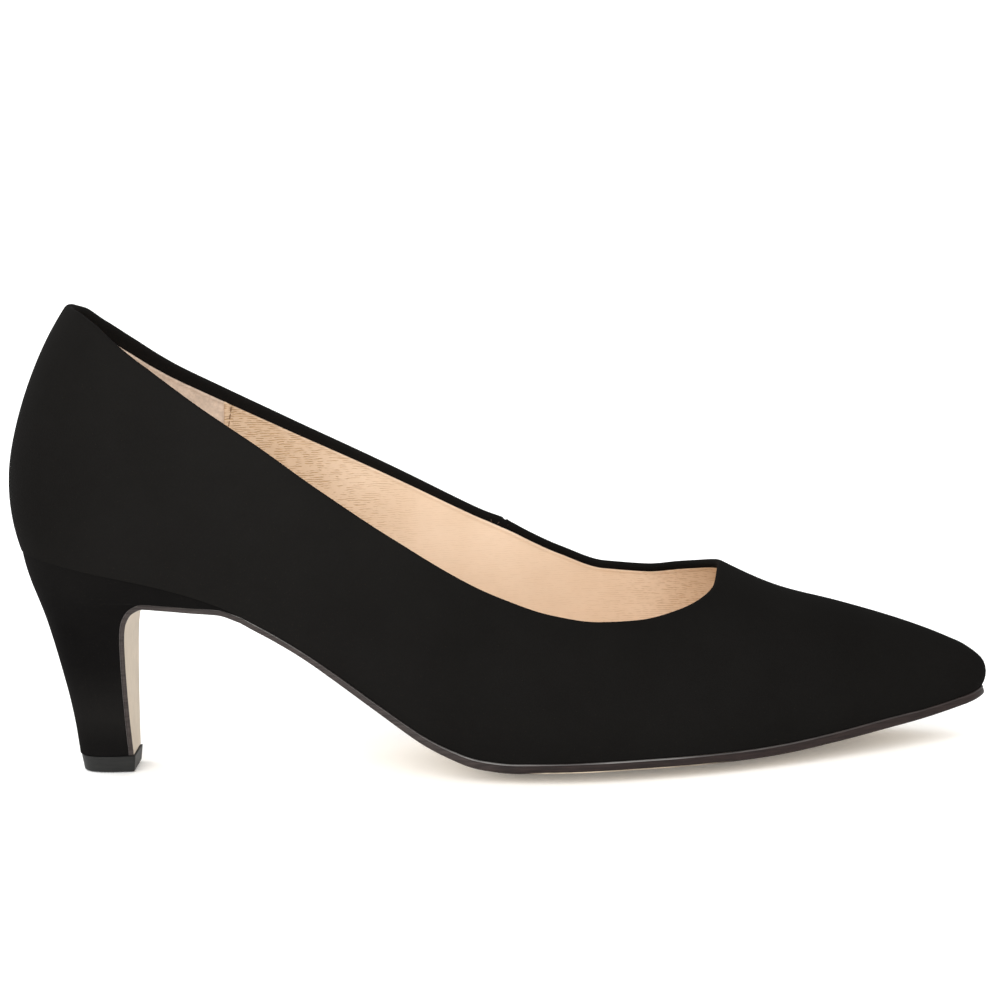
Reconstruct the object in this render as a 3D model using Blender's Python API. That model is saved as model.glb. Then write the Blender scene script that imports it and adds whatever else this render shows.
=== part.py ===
"""Kitten heel pump, a right shoe with a pointed toe and a low tapered heel.

Frame: +X to the toe, -Y to the lateral (outer) side, +Z up. The shoe stands on Z = 0 and the origin is
under the middle of its box. Sizes below are millimetres, and x is measured from the back of the shoe.
Pieces: upper, insole, outsole with a flap down the front of the heel, heel block, top lift.
"""

import math

import bmesh
import bpy
import numpy as np

MM = 0.001

# Driving dimensions, in millimetres
SHOE_LENGTH = 253.0
BOX_MIDDLE_Y = -1.4
WALL = 1.8
GAP = 0.3
INSOLE_THICK = 2.4
FLAP_THICK = 1.3
SOLE_PROUD = 0.3
LIFT_HEIGHT = 4.3
LIFT_INSET = 0.3
LIFT_TAPER = 0.5
LIFT_EDGE = 0.5
HEEL_INSET = 0.5
INSOLE_EASE = 0.4

# The round heel seat and the round toe tip turn about two upright axes. A station along the shoe is
# below 0 round the heel's back, counts millimetres from the heel's axis to the toe's, and goes on round the tip
HEEL_AXIS = 28.0
SEAT_BACK = 2.3
HEEL_BULGE_BACK = -5.25
HEEL_BACK_LOW = 27.0
HEEL_BACK_TOP = 56.0
TOE_AXIS = 246.0
TOE_FEATHER = 251.8
TOE_POINT = 1.5
TOE_BULGE = SHOE_LENGTH
HEEL_ARC = 40.0
TOE_ARC = 10.0
FORE = TOE_AXIS - HEEL_AXIS

# Share of a section's girth below its widest point, share at which the rows start from the feather
# edge, and flat middle share of the tread
LOW_SHARE = 0.22
COMMON_GIRTH = 0.6
FLAT_SHARE = 0.35


def table(columns, *rows):
    """Named columns of numbers, with a row for each section."""
    return dict(zip(columns.split(), np.array(rows, float).T))


# Bottom of the last along the middle of the foot, how far its edges rise above the middle, and the
# thickness of the sole under it
BOTTOM = table(
    "x      middle  edge_rise sole",
    (0.0,   60.8,   0.0,      2.1),
    (8.0,   60.4,   0.0,      2.1),
    (16.0,  59.3,   0.0,      2.1),
    (27.0,  56.9,   0.0,      2.1),
    (37.0,  54.2,   0.0,      2.1),
    (46.0,  51.3,   0.0,      2.1),
    (56.0,  46.9,   0.0,      2.1),
    (66.0,  41.3,   0.1,      2.1),
    (76.0,  34.6,   0.3,      2.2),
    (86.0,  27.2,   0.6,      2.3),
    (96.0,  19.7,   1.0,      2.3),
    (106.0, 12.5,   1.6,      2.3),
    (114.0, 7.4,    2.2,      2.3),
    (122.0, 4.0,    2.7,      2.3),
    (132.0, 2.45,   3.0,      2.3),
    (166.0, 2.45,   2.9,      2.3),
    (182.0, 2.9,    2.5,      2.3),
    (198.0, 4.2,    1.7,      2.2),
    (212.0, 6.0,    1.2,      2.1),
    (226.0, 8.3,    0.8,      2.0),
    (240.0, 10.8,   0.3,      1.9),
    (253.0, 13.6,   0.0,      1.9),
)

# Cross-sections of the last: half widths at the feather edge and at the widest point of the wall, the
# height of that point above the feather, the comb (top) and its offset, the forward lean, the fullness
LAST = table(
    "x      foot_lat foot_med wall_lat wall_med wall_high comb   comb_y lean  fullness",
    (28.0,  24.6,    23.8,    28.2,    27.4,    15.5,     146.0, 0.0,   0.25, 2.0),
    (50.0,  24.2,    21.8,    28.6,    27.2,    18.0,     139.0, 0.0,   0.19, 2.0),
    (75.0,  22.4,    17.4,    29.0,    27.0,    23.0,     128.0, 1.0,   0.10, 2.0),
    (100.0, 26.8,    19.6,    31.8,    28.4,    21.0,     113.0, 2.0,   0.04, 1.9),
    (125.0, 35.4,    29.2,    38.0,    33.2,    13.0,     95.0,  3.5,   0.0,  1.8),
    (150.0, 39.2,    36.2,    41.0,    38.2,    9.0,      74.0,  4.5,   0.0,  1.65),
    (170.0, 37.2,    34.6,    38.8,    36.2,    7.5,      58.0,  4.5,   0.0,  1.6),
    (185.0, 33.6,    30.2,    35.0,    31.6,    6.5,      48.4,  4.0,   0.0,  1.6),
    (200.0, 28.4,    24.4,    29.6,    25.6,    5.5,      40.9,  3.0,   0.0,  1.7),
    (215.0, 22.0,    18.8,    23.1,    19.8,    4.8,      36.7,  2.0,   0.0,  1.8),
    (231.0, 14.0,    12.2,    15.0,    13.2,    4.2,      31.3,  1.0,   0.0,  1.9),
    (239.0, 9.8,     8.8,     10.7,    9.7,     4.0,      28.1,  0.5,   0.0,  1.95),
    (246.0, 6.8,     6.4,     7.6,     7.2,     3.8,      24.6,  0.0,   0.0,  2.0),
)

# The topline from the back of the heel to the throat: station along the last, station of the feather
# edge below it, and height above the floor on each side
TOPLINE = table(
    "station foot   lateral medial",
    (-40.0,  -40.0, 123.9,  123.9),
    (-30.0,  -30.0, 123.4,  122.1),
    (-20.0,  -20.0, 121.0,  117.6),
    (-10.0,  -10.0, 116.0,  111.4),
    (0.0,    0.0,   109.3,  104.8),
    (18.0,   17.0,  98.3,   96.3),
    (36.0,   34.0,  87.6,   88.7),
    (53.0,   50.0,  76.4,   80.8),
    (70.0,   66.0,  65.1,   72.6),
    (86.0,   81.0,  55.5,   64.4),
    (101.0,  95.0,  47.9,   56.4),
    (114.0,  107.0, 43.0,   49.2),
    (126.0,  118.0, 40.5,   44.9),
    (137.0,  128.0, 39.9,   44.0),
    (146.0,  137.0, 40.9,   45.1),
    (152.0,  146.0, 42.9,   46.9),
    (155.8,  155.0, 45.6,   48.1),
    (157.0,  164.0, 48.4,   48.4),
)

# The front of the heel from the tip up to the tongue under the shank, with the half width there, the
# heel's back at the same level, and the share of the seat's outline that the level has taken on
HEEL = table(
    "front_x front_z half  back_x back_z seat",
    (27.7,   4.6,    7.0,  13.9,  4.6,   0.0),
    (27.7,   12.0,   9.0,  13.3,  12.0,  0.0),
    (27.8,   20.0,   11.0, 12.3,  19.5,  0.0),
    (28.0,   28.0,   12.8, 10.8,  27.5,  0.0),
    (28.4,   36.0,   14.6, 9.1,   35.5,  0.0),
    (29.6,   41.0,   16.4, 7.8,   41.0,  0.0),
    (32.4,   45.0,   18.4, 6.6,   45.5,  0.05),
    (36.5,   46.8,   20.4, 5.6,   48.8,  0.12),
    (42.0,   47.0,   22.0, 4.7,   52.2,  0.35),
    (49.0,   46.5,   23.0, 3.8,   56.0,  0.65),
    (56.0,   45.7,   23.4, 2.8,   60.5,  1.0),
)
HEEL_ROUND = 3.2

# Exponents: how late the tongue takes on the shank's width and the heel's top the seat's height
TONGUE_TAPER = 6
SEAT_EASE = 3
LEVEL_STEP = 0.01

# The sole between the heel's tongue and the shank, where it leaves the tongue and meets the last
SHANK = table(
    "x     z      thick",
    (59.5, 44.75, 1.6),
    (63.0, 42.85, 1.9),
)
SHANK_START = 66.0

# Numbers of facets
COLLAR_COLUMNS = 44
THROAT_CROWDING = 1.3
VAMP_COLUMNS = 13
TOE_COLUMNS = 6
WALL_ROWS = 12
SOLE_ACROSS = 8
SOLE_RINGS = 42
INSOLE_RINGS = 30
HEEL_LEVELS = 26
END_TURN = tuple(math.radians(angle) for angle in (80, 65, 50, 35, 18))

# Places round a level of the heel, from its front edge to the middle of its round back
BACK_SHARES = (0.0, 0.09, 0.18, 0.27, 0.36, 0.45, 0.55, 0.66, 0.76, 0.845, 0.91, 0.96, 0.99, 1.0)


def smooth(x, knots, values):
    """Smooth curve through a table's column that never overshoots its rows."""
    x = np.clip(np.asarray(x, float), knots[0], knots[-1])
    step = np.diff(knots)
    slope = np.diff(values) / step
    tangent = np.zeros_like(values)
    tangent[0] = slope[0]
    tangent[-1] = slope[-1]
    rising = slope[:-1] * slope[1:] > 0
    before = 2 * step[1:] + step[:-1]
    after = step[1:] + 2 * step[:-1]
    with np.errstate(divide="ignore", invalid="ignore"):
        mean = (before + after) / (before / slope[:-1] + after / slope[1:])
    tangent[1:-1] = np.where(rising, mean, 0.0)
    i = np.clip(np.searchsorted(knots, x, side="right") - 1, 0, len(step) - 1)
    t = (x - knots[i]) / step[i]
    return (
        values[i] * (1 + 2 * t) * (1 - t) ** 2
        + values[i + 1] * t**2 * (3 - 2 * t)
        + step[i] * tangent[i] * t * (1 - t) ** 2
        - step[i] * tangent[i + 1] * t**2 * (1 - t)
    )


def bottom_middle(x):
    """Height of the last's bottom along the middle of the foot."""
    return smooth(x, BOTTOM["x"], BOTTOM["middle"])


def edge_rise(x, share):
    """How far the bottom rises at that share of its half width: flat in the middle, then a parabola."""
    beyond = np.clip((np.abs(share) - FLAT_SHARE) / (1 - FLAT_SHARE), 0, None)
    return smooth(x, BOTTOM["x"], BOTTOM["edge_rise"]) * beyond**2


def last_size(x, column):
    """One column of the last's sections at x."""
    return smooth(x, LAST["x"], LAST[column])


def side_name(side):
    return "lat" if side < 0 else "med"


def foot_half(x, side, grow=0.0):
    """Half width of the foot outline at x, with its edge moved out by grow."""
    half = last_size(x, "foot_" + side_name(side)) + grow
    heel = min(1.0, max(0.0, HEEL_AXIS - x) / (HEEL_AXIS - SEAT_BACK + grow))
    toe = min(1.0, max(0.0, x - TOE_AXIS) / (TOE_FEATHER - TOE_AXIS + grow))
    return half * math.sqrt(1 - heel**2) * (1 - toe**TOE_POINT) ** (1 / TOE_POINT)


class Section:
    """One upright section of the upper, on a plane that turns round the heel and the toe."""

    def __init__(self, station, side):
        heel = math.radians(90) * min(1.0, max(0.0, -station) / HEEL_ARC)
        toe = math.radians(90) * min(1.0, max(0.0, station - FORE) / TOE_ARC)
        self.side = side
        self.axis = HEEL_AXIS + min(max(station, 0.0), FORE)
        self.along = math.sin(toe) - math.sin(heel)
        self.across = math.cos(max(heel, toe))
        foot_end, wall_end, point = HEEL_AXIS - SEAT_BACK, HEEL_AXIS - HEEL_BULGE_BACK, 2.0
        if station > FORE:
            foot_end, wall_end, point = TOE_FEATHER - TOE_AXIS, TOE_BULGE - TOE_AXIS, TOE_POINT
        name = side_name(side)
        self.foot = self.reach(foot_end, last_size(self.axis, "foot_" + name), point)
        self.wall = self.reach(wall_end, last_size(self.axis, "wall_" + name), point)
        self.low = last_size(self.axis, "wall_high")
        feather_x = self.axis + self.along * self.foot
        self.feather = bottom_middle(feather_x) + edge_rise(feather_x, 1.0) + GAP / 2
        comb = last_size(self.axis, "comb")
        if station < 0:
            backward = self.along**2
            comb += self.feather - bottom_middle(self.axis)
            self.low += (HEEL_BACK_LOW - self.low) * backward
            self.top = comb - self.feather - self.low
            self.top += (HEEL_BACK_TOP - self.top) * backward
        else:
            self.top = comb - self.feather - self.low
        self.comb_y = last_size(self.axis, "comb_y")
        self.lean = last_size(self.axis, "lean")
        self.power = 2 / last_size(self.axis, "fullness")
        self.tilt = 0.0
        if station > FORE:
            self.tilt = last_size(TOE_AXIS, "comb") - last_size(TOE_AXIS - 1, "comb")

    def reach(self, end, half, point):
        """Radius of a rounded end at this section's angle; point 2 is an ellipse, less is more pointed."""
        return ((abs(self.along) / end) ** point + (self.across / half) ** point) ** (-1 / point)

    def girth_at(self, z):
        """Girth share at which the wall reaches the height z."""
        share = min(1.0, max(0.0, (z - self.feather - self.low) / self.top))
        angle = math.asin(share ** (1 / self.power))
        return LOW_SHARE + (1 - LOW_SHARE) * angle / math.radians(90)

    def point(self, girth):
        """The wall's outer face at a girth share: 0 at the feather edge, 1 at the comb."""
        if girth < LOW_SHARE:
            t = girth / LOW_SHARE
            out = self.foot + (self.wall - self.foot) * (1 - (1 - t) ** 2)
            up = self.low * t
            over = 0.0
        else:
            angle = math.radians(90) * min(1.0, (girth - LOW_SHARE) / (1 - LOW_SHARE))
            out = self.wall * max(0.0, math.cos(angle)) ** self.power
            up = self.low + self.top * math.sin(angle) ** self.power
            over = math.sin(angle) ** 2
        forward = self.along * out
        return (
            self.axis + forward + self.lean * up,
            self.side * self.across * out + self.comb_y * over,
            self.feather + up + self.tilt * forward * over,
        )


def upper_point(u, w, side):
    """Outer face of the upper: u from the heel back to the toe tip, w from the feather edge to the top."""
    columns = COLLAR_COLUMNS + VAMP_COLUMNS + TOE_COLUMNS
    column = u * columns
    throat = TOPLINE["station"][-1]
    throat_foot = TOPLINE["foot"][-1]
    if column <= COLLAR_COLUMNS:
        t = 1 - (1 - column / COLLAR_COLUMNS) ** THROAT_CROWDING
        row = np.linspace(0, 1, len(TOPLINE["station"]))
        foot = float(smooth(t, row, TOPLINE["foot"]))
        top = float(smooth(t, row, TOPLINE["station"]))
        height = smooth(t, row, TOPLINE["lateral" if side < 0 else "medial"])
        girth = 1.0 if t >= 1 else Section(top, side).girth_at(height)
    elif column <= COLLAR_COLUMNS + VAMP_COLUMNS:
        t = (column - COLLAR_COLUMNS) / VAMP_COLUMNS
        foot = throat_foot + (FORE - throat_foot) * t
        top = throat + (FORE - throat) * t
        girth = 1.0
    else:
        t = (column - COLLAR_COLUMNS - VAMP_COLUMNS) / TOE_COLUMNS
        foot = top = FORE + TOE_ARC * t
        girth = 1.0
    girth = COMMON_GIRTH + (girth - COMMON_GIRTH) * w
    return Section(foot + (top - foot) * w, side).point(girth * w)


def material(name, colour, roughness):
    made = bpy.data.materials.new(name)
    made.use_nodes = True
    shader = made.node_tree.nodes["Principled BSDF"]
    shader.inputs["Base Color"].default_value = (*colour, 1.0)
    shader.inputs["Roughness"].default_value = roughness
    shader.inputs["Metallic"].default_value = 0.0
    return made


def add_object(name, bm, finish, smooth_angle=40.0):
    """Moves a mesh drawn in millimetres from the heel back into the shoe's frame and adds it."""
    for vert in bm.verts:
        vert.co.x -= SHOE_LENGTH / 2
        vert.co.y -= BOX_MIDDLE_Y
        vert.co *= MM
    mesh = bpy.data.meshes.new(name)
    bm.to_mesh(mesh)
    bm.free()
    mesh.shade_smooth()
    mesh.set_sharp_from_angle(angle=math.radians(smooth_angle))
    mesh.materials.append(finish)
    made = bpy.data.objects.new(name, mesh)
    bpy.context.scene.collection.objects.link(made)
    return made


def loft(rings):
    """Closed solid through rings of equal count, each end closed by rungs between its two halves."""
    bm = bmesh.new()
    levels = [[bm.verts.new(p) for p in ring] for ring in rings]
    count = len(levels[0])
    for low, high in zip(levels, levels[1:]):
        for i in range(count):
            j = (i + 1) % count
            bm.faces.new((low[i], low[j], high[j], high[i]))
    for ring in (levels[0], levels[-1]):
        for i in range((count - 1) // 2):
            rung = [ring[i], ring[i + 1], ring[count - 2 - i], ring[count - 1 - i]]
            bm.faces.new(list(dict.fromkeys(rung)))
    bmesh.ops.recalc_face_normals(bm, faces=bm.faces)
    return bm


def across_row(x, z, lateral, medial, normal, offset, rise_x):
    """A row of points from the lateral to the medial edge, offset along the normal and bent up by the edge rise."""
    row = []
    for share in np.linspace(-1, 1, SOLE_ACROSS + 1):
        half = lateral if share < 0 else medial
        rise = edge_rise(rise_x, share) if rise_x else 0.0
        row.append((x + normal[0] * offset, share * half, z + normal[1] * offset + rise))
    return row


def make_upper():
    """The hollow upper: a grid laid on each side of the last, joined, then given its wall."""
    bm = bmesh.new()
    columns = COLLAR_COLUMNS + VAMP_COLUMNS + TOE_COLUMNS
    for side in (-1, 1):
        made = bmesh.ops.create_grid(bm, x_segments=columns, y_segments=WALL_ROWS, size=1.0)
        for vert in made["verts"]:
            u = (vert.co.x + 1) / 2
            w = (vert.co.y + 1) / 2
            vert.co = upper_point(u, w, side)
        if side > 0:
            medial = {face for vert in made["verts"] for face in vert.link_faces}
            bmesh.ops.reverse_faces(bm, faces=list(medial))
    bmesh.ops.remove_doubles(bm, verts=bm.verts, dist=0.01)
    upper = add_object("upper", bm, material("black_suede", (0.014, 0.013, 0.012), 0.9))
    wall = upper.modifiers.new("wall", "SOLIDIFY")
    wall.thickness = WALL * MM
    wall.offset = -1.0
    wall.use_even_offset = True
    wall.use_quality_normals = True
    facets = upper.modifiers.new("facets", "TRIANGULATE")
    facets.quad_method = "SHORTEST_DIAGONAL"
    return upper


def sole_line():
    """The sole's top face from the toe to the heel tip: x, z, half widths, thickness, and x for the rise."""
    line = []
    toe_reach = TOE_FEATHER - TOE_AXIS + SOLE_PROUD
    tip = [TOE_AXIS + toe_reach * math.sin(turn) for turn in END_TURN]
    for x in tip + list(np.linspace(TOE_AXIS, SHANK_START, SOLE_RINGS)):
        z = float(bottom_middle(x)) - GAP / 2
        halves = [foot_half(x, side, SOLE_PROUD) for side in (-1, 1)]
        line.append((x, z, *halves, float(smooth(x, BOTTOM["x"], BOTTOM["sole"])), x))
    shank_half = [foot_half(SHANK["x"][0], side) for side in (-1, 1)]
    for x, z, thick in zip(SHANK["x"][::-1], SHANK["z"][::-1], SHANK["thick"][::-1]):
        halves = [foot_half(x, side) for side in (-1, 1)]
        line.append((x, z, *halves, thick, 0.0))
    levels = np.linspace(1, 0, HEEL_LEVELS)
    row = np.linspace(0, 1, len(HEEL["half"]))
    for level in levels:
        x, z, half = (float(smooth(level, row, HEEL[c])) for c in ("front_x", "front_z", "half"))
        near_shank = level**TONGUE_TAPER
        halves = [half + (side_half - HEEL_INSET - half) * near_shank for side_half in shank_half]
        line.append((x, z, *halves, FLAP_THICK, 0.0))
    return line


def make_outsole():
    """Thin outsole with a toe spring and an arch, which runs on down the front of the heel."""
    line = sole_line()
    middle = np.array([(p[0], p[1]) for p in line])
    heading = np.gradient(middle, axis=0)
    heading /= np.linalg.norm(heading, axis=1)[:, None]
    rings = []
    for (x, z, lateral, medial, thick, rise_x), (dx, dz) in zip(line, heading):
        normal = (dz, -dx)
        top = across_row(x, z, lateral, medial, normal, 0.0, rise_x)
        under = across_row(x, z, lateral, medial, normal, -thick, rise_x)
        rings.append(top + under[::-1])
    return add_object("outsole", loft(rings), material("sole_leather", (0.61, 0.47, 0.35), 0.6))


def make_insole():
    """Insole inside the upper's foot, on the outsole and the heel seat."""
    inset = -(WALL + INSOLE_EASE)
    back = SEAT_BACK - inset
    toe = TOE_FEATHER + inset
    heel_end = [HEEL_AXIS - (HEEL_AXIS - back) * math.sin(turn) for turn in END_TURN]
    toe_end = [TOE_AXIS + (toe - TOE_AXIS) * math.sin(turn) for turn in END_TURN[::-1]]
    rings = []
    for x in heel_end + list(np.linspace(HEEL_AXIS, TOE_AXIS, INSOLE_RINGS)) + toe_end:
        z = float(bottom_middle(x)) + GAP / 2
        lateral, medial = (foot_half(x, side, inset) for side in (-1, 1))
        low = across_row(x, z, lateral, medial, (0, 1), 0.0, x)
        high = across_row(x, z, lateral, medial, (0, 1), INSOLE_THICK, x)
        rings.append(high + low[::-1])
    return add_object("insole", loft(rings), material("insole_leather", (0.75, 0.55, 0.38), 0.55))


def heel_ring(level):
    """One level of the heel block: a straight front edge and a round back."""
    row = np.linspace(0, 1, len(HEEL["half"]))
    size = {c: float(smooth(level, row, HEEL[c])) for c in HEEL}
    above, below = min(1, level + LEVEL_STEP), max(0, level - LEVEL_STEP)
    ahead = {c: float(smooth(above, row, HEEL[c])) for c in ("front_x", "front_z")}
    behind = {c: float(smooth(below, row, HEEL[c])) for c in ("front_x", "front_z")}
    dx = ahead["front_x"] - behind["front_x"]
    dz = ahead["front_z"] - behind["front_z"]
    front_x = size["front_x"] - GAP * dz / math.hypot(dx, dz)
    front_z = size["front_z"] + GAP * dx / math.hypot(dx, dz)
    sides = []
    for side in (-1, 1):
        points = []
        for back in BACK_SHARES:
            x = front_x + (size["back_x"] - front_x) * back
            z = front_z + (size["back_z"] - front_z) * back
            half = size["half"] * math.sqrt(1 - back**HEEL_ROUND)
            seat_half = foot_half(x, side, -HEEL_INSET)
            seat_z = float(bottom_middle(x)) - GAP / 2
            half += (seat_half - half) * size["seat"]
            z += (seat_z - z) * size["seat"] ** SEAT_EASE
            points.append((x, side * half, z))
        sides.append(points)
    lateral, medial = sides
    return lateral + medial[-2::-1]


def make_heel():
    """Heel block under the seat, with a thin tongue forward under the shank."""
    rings = [heel_ring(level) for level in np.linspace(0, 1, HEEL_LEVELS)]
    return add_object("heel", loft(rings), material("heel_suede", (0.012, 0.011, 0.010), 0.9))


def lift_ring(z, inset):
    """One level of the top lift, which also covers the end of the sole's flap."""
    front = HEEL["front_x"][0] + FLAP_THICK - inset
    back = HEEL["back_x"][0] + LIFT_INSET + inset
    half = HEEL["half"][0] - inset
    sides = []
    for side in (-1, 1):
        points = []
        for share in BACK_SHARES:
            x = front + (back - front) * share
            points.append((x, side * half * math.sqrt(1 - share**HEEL_ROUND), z))
        sides.append(points)
    lateral, medial = sides
    return lateral + medial[-2::-1]


def make_top_lift():
    """Moulded top lift, drawn in a little towards the floor, with a rounded lower edge."""
    turned = LIFT_EDGE * (1 - math.sqrt(0.5))
    rings = [
        lift_ring(LIFT_HEIGHT, 0.0),
        lift_ring(LIFT_EDGE, LIFT_TAPER),
        lift_ring(turned, LIFT_TAPER + turned),
        lift_ring(0.0, LIFT_TAPER + LIFT_EDGE),
    ]
    return add_object("top_lift", loft(rings), material("lift_rubber", (0.036, 0.036, 0.034), 0.55))


def main():
    for old in list(bpy.data.objects):
        bpy.data.objects.remove(old)
    make_upper()
    make_insole()
    make_outsole()
    make_heel()
    make_top_lift()


main()
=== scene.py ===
"""Looks of a kitten heel pump in black suede: upper, lining, sock, sole, heel and top piece.

The tables are in millimetres, as the last is drawn: x from the back of the shoe to the toe, y to the medial
side and z up from the floor. in_frame turns them into the frame's metres.
"""

import math
from functools import partial
from types import SimpleNamespace

import bmesh
import bpy
import numpy as np
from bpy.props import FloatProperty, FloatVectorProperty, PointerProperty
from mathutils import Matrix, Vector, noise


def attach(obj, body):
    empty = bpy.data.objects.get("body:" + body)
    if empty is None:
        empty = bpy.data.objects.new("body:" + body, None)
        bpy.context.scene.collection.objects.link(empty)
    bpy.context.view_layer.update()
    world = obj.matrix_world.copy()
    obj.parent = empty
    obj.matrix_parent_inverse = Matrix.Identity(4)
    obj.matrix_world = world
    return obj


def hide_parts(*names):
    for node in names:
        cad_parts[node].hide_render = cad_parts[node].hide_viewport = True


bl_info = {
    "name": "Kitten Heel Pump",
    "version": (1, 0, 0),
    "blender": (4, 5, 0),
    "location": "3D View > Sidebar > Pump",
    "description": "Dresses the frame of a kitten heel pump in suede, leather and rubber",
    "category": "Object",
}

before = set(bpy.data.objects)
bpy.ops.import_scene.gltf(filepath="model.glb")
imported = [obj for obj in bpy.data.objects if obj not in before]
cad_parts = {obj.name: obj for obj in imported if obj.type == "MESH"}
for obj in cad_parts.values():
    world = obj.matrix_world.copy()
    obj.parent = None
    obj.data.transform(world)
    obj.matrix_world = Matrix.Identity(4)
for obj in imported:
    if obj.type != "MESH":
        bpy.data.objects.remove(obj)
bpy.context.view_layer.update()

MM = 0.001
QUARTER_TURN = math.pi / 2
BODY = "root"

# The last as the frame was built on it, in millimetres, with shares and powers of its curves
SHOE_LENGTH = 253.0
BOX_MIDDLE_Y = -1.4
GAP = 0.3
INSOLE_THICK = 2.4
SOLE_PROUD = 0.3
HEEL_INSET = 0.5
LIFT_HEIGHT = 4.3
LIFT_INSET = 0.3
LIFT_TAPER = 0.5
LIFT_EDGE = 0.5
HEEL_AXIS = 28.0
SEAT_BACK = 2.3
HEEL_BULGE_BACK = -4.9
HEEL_BACK_LOW = 27.0
HEEL_BACK_TOP = 56.0
TOE_AXIS = 246.0
TOE_FEATHER = 251.8
TOE_BULGE = SHOE_LENGTH
TOE_POINT = 1.5
ELLIPSE = 2.0
HEEL_ARC = 40.0
TOE_ARC = 10.0
FORE = TOE_AXIS - HEEL_AXIS
LOW_SHARE = 0.22
FLAT_SHARE = 0.35
HEEL_ROUND = 3.2
HEEL_STRAIGHT = 0.8
TONGUE_TAPER = 6
SEAT_EASE = 3
TONGUE_EASE = 24
SHANK_START = 66.0
SOLE_TOP = 0.12


def table(columns, *rows):
    """Named columns of numbers, with a row for each section."""
    return dict(zip(columns.split(), np.array(rows, float).T))


# Bottom of the last along the middle of the foot, rise of its edges and thickness of the sole
BOTTOM = table(
    "x      middle  edge_rise sole",
    (0.0,   60.8,   0.0,      2.1),
    (8.0,   59.8,   0.0,      2.1),
    (16.0,  58.3,   0.0,      2.1),
    (27.0,  55.8,   0.0,      2.1),
    (37.0,  53.2,   0.0,      2.1),
    (46.0,  50.5,   0.0,      2.1),
    (56.0,  46.6,   0.0,      1.7),
    (66.0,  40.9,   0.0,      1.6),
    (76.0,  34.3,   0.0,      1.5),
    (86.0,  27.1,   0.0,      1.65),
    (96.0,  19.6,   0.1,      1.75),
    (106.0, 12.4,   0.3,      2.0),
    (114.0, 7.3,    1.4,      2.2),
    (122.0, 4.0,    2.2,      2.45),
    (132.0, 2.45,   2.85,     2.57),
    (166.0, 2.45,   3.15,     2.57),
    (182.0, 2.9,    2.7,      2.6),
    (198.0, 4.2,    1.75,     2.6),
    (212.0, 6.0,    1.2,      2.55),
    (226.0, 8.2,    0.7,      2.65),
    (240.0, 10.4,   0.0,      2.3),
    (253.0, 13.2,   0.0,      2.15),
)

# Cross-sections of the last: half widths at the feather edge and at the widest point of the wall, the
# height of that point above the feather, the comb (top) and its offset, the forward lean, the fullness
LAST = table(
    "x      foot_lat foot_med wall_lat wall_med wall_high comb   comb_y lean  fullness",
    (28.0,  24.6,    23.8,    28.2,    27.4,    15.5,     146.0, 0.0,   0.25, 2.0),
    (50.0,  24.2,    21.8,    28.6,    27.2,    18.0,     139.0, 0.0,   0.19, 2.0),
    (75.0,  22.4,    17.4,    29.0,    27.0,    23.0,     128.0, 1.0,   0.10, 2.0),
    (100.0, 26.8,    19.6,    31.8,    28.4,    21.0,     113.0, 2.0,   0.04, 1.9),
    (125.0, 35.4,    29.2,    38.0,    33.2,    13.0,     95.0,  3.5,   0.0,  1.8),
    (150.0, 39.2,    36.2,    41.0,    38.2,    9.0,      74.0,  4.5,   0.0,  1.65),
    (170.0, 37.2,    34.6,    38.8,    36.2,    7.5,      58.0,  4.5,   0.0,  1.6),
    (185.0, 33.6,    30.2,    35.0,    31.6,    6.5,      48.4,  4.0,   0.0,  1.6),
    (200.0, 28.4,    24.4,    29.6,    25.6,    5.5,      41.1,  3.0,   0.0,  1.7),
    (215.0, 22.0,    18.8,    23.1,    19.8,    4.8,      36.7,  2.0,   0.0,  1.8),
    (231.0, 14.0,    12.2,    15.0,    13.2,    4.2,      31.5,  1.0,   0.0,  1.9),
    (239.0, 9.8,     8.8,     10.7,    9.7,     4.0,      28.4,  0.5,   0.0,  1.95),
    (246.0, 6.8,     6.4,     7.6,     7.2,     3.8,      25.2,  0.0,   0.0,  2.0),
)

# The topline from the back of the heel to the throat: station along the last, station at which the ray
# from there down the upper meets the sole, and height above the floor on each side
TOPLINE = table(
    "station ray    lateral medial",
    (-40.0,  -40.0, 123.9,  123.9),
    (-30.0,  -30.0, 123.4,  122.1),
    (-20.0,  -20.0, 120.8,  117.2),
    (-10.0,  -10.0, 115.6,  111.2),
    (0.0,    0.0,   109.4,  105.0),
    (18.0,   17.0,  98.1,   96.5),
    (36.0,   34.0,  87.3,   88.4),
    (53.0,   50.0,  75.9,   80.7),
    (70.0,   67.0,  64.9,   72.6),
    (86.0,   84.0,  55.5,   64.4),
    (101.0,  101.0, 47.9,   56.4),
    (114.0,  119.0, 43.0,   49.2),
    (126.0,  139.0, 40.5,   44.7),
    (137.0,  161.0, 39.9,   44.2),
    (146.0,  184.0, 40.9,   45.6),
    (152.0,  204.0, 42.5,   46.9),
    (155.8,  218.0, 44.9,   48.1),
    (157.0,  228.0, 48.4,   48.4),
)
TOP_SPANS = len(TOPLINE["station"]) - 1

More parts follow.
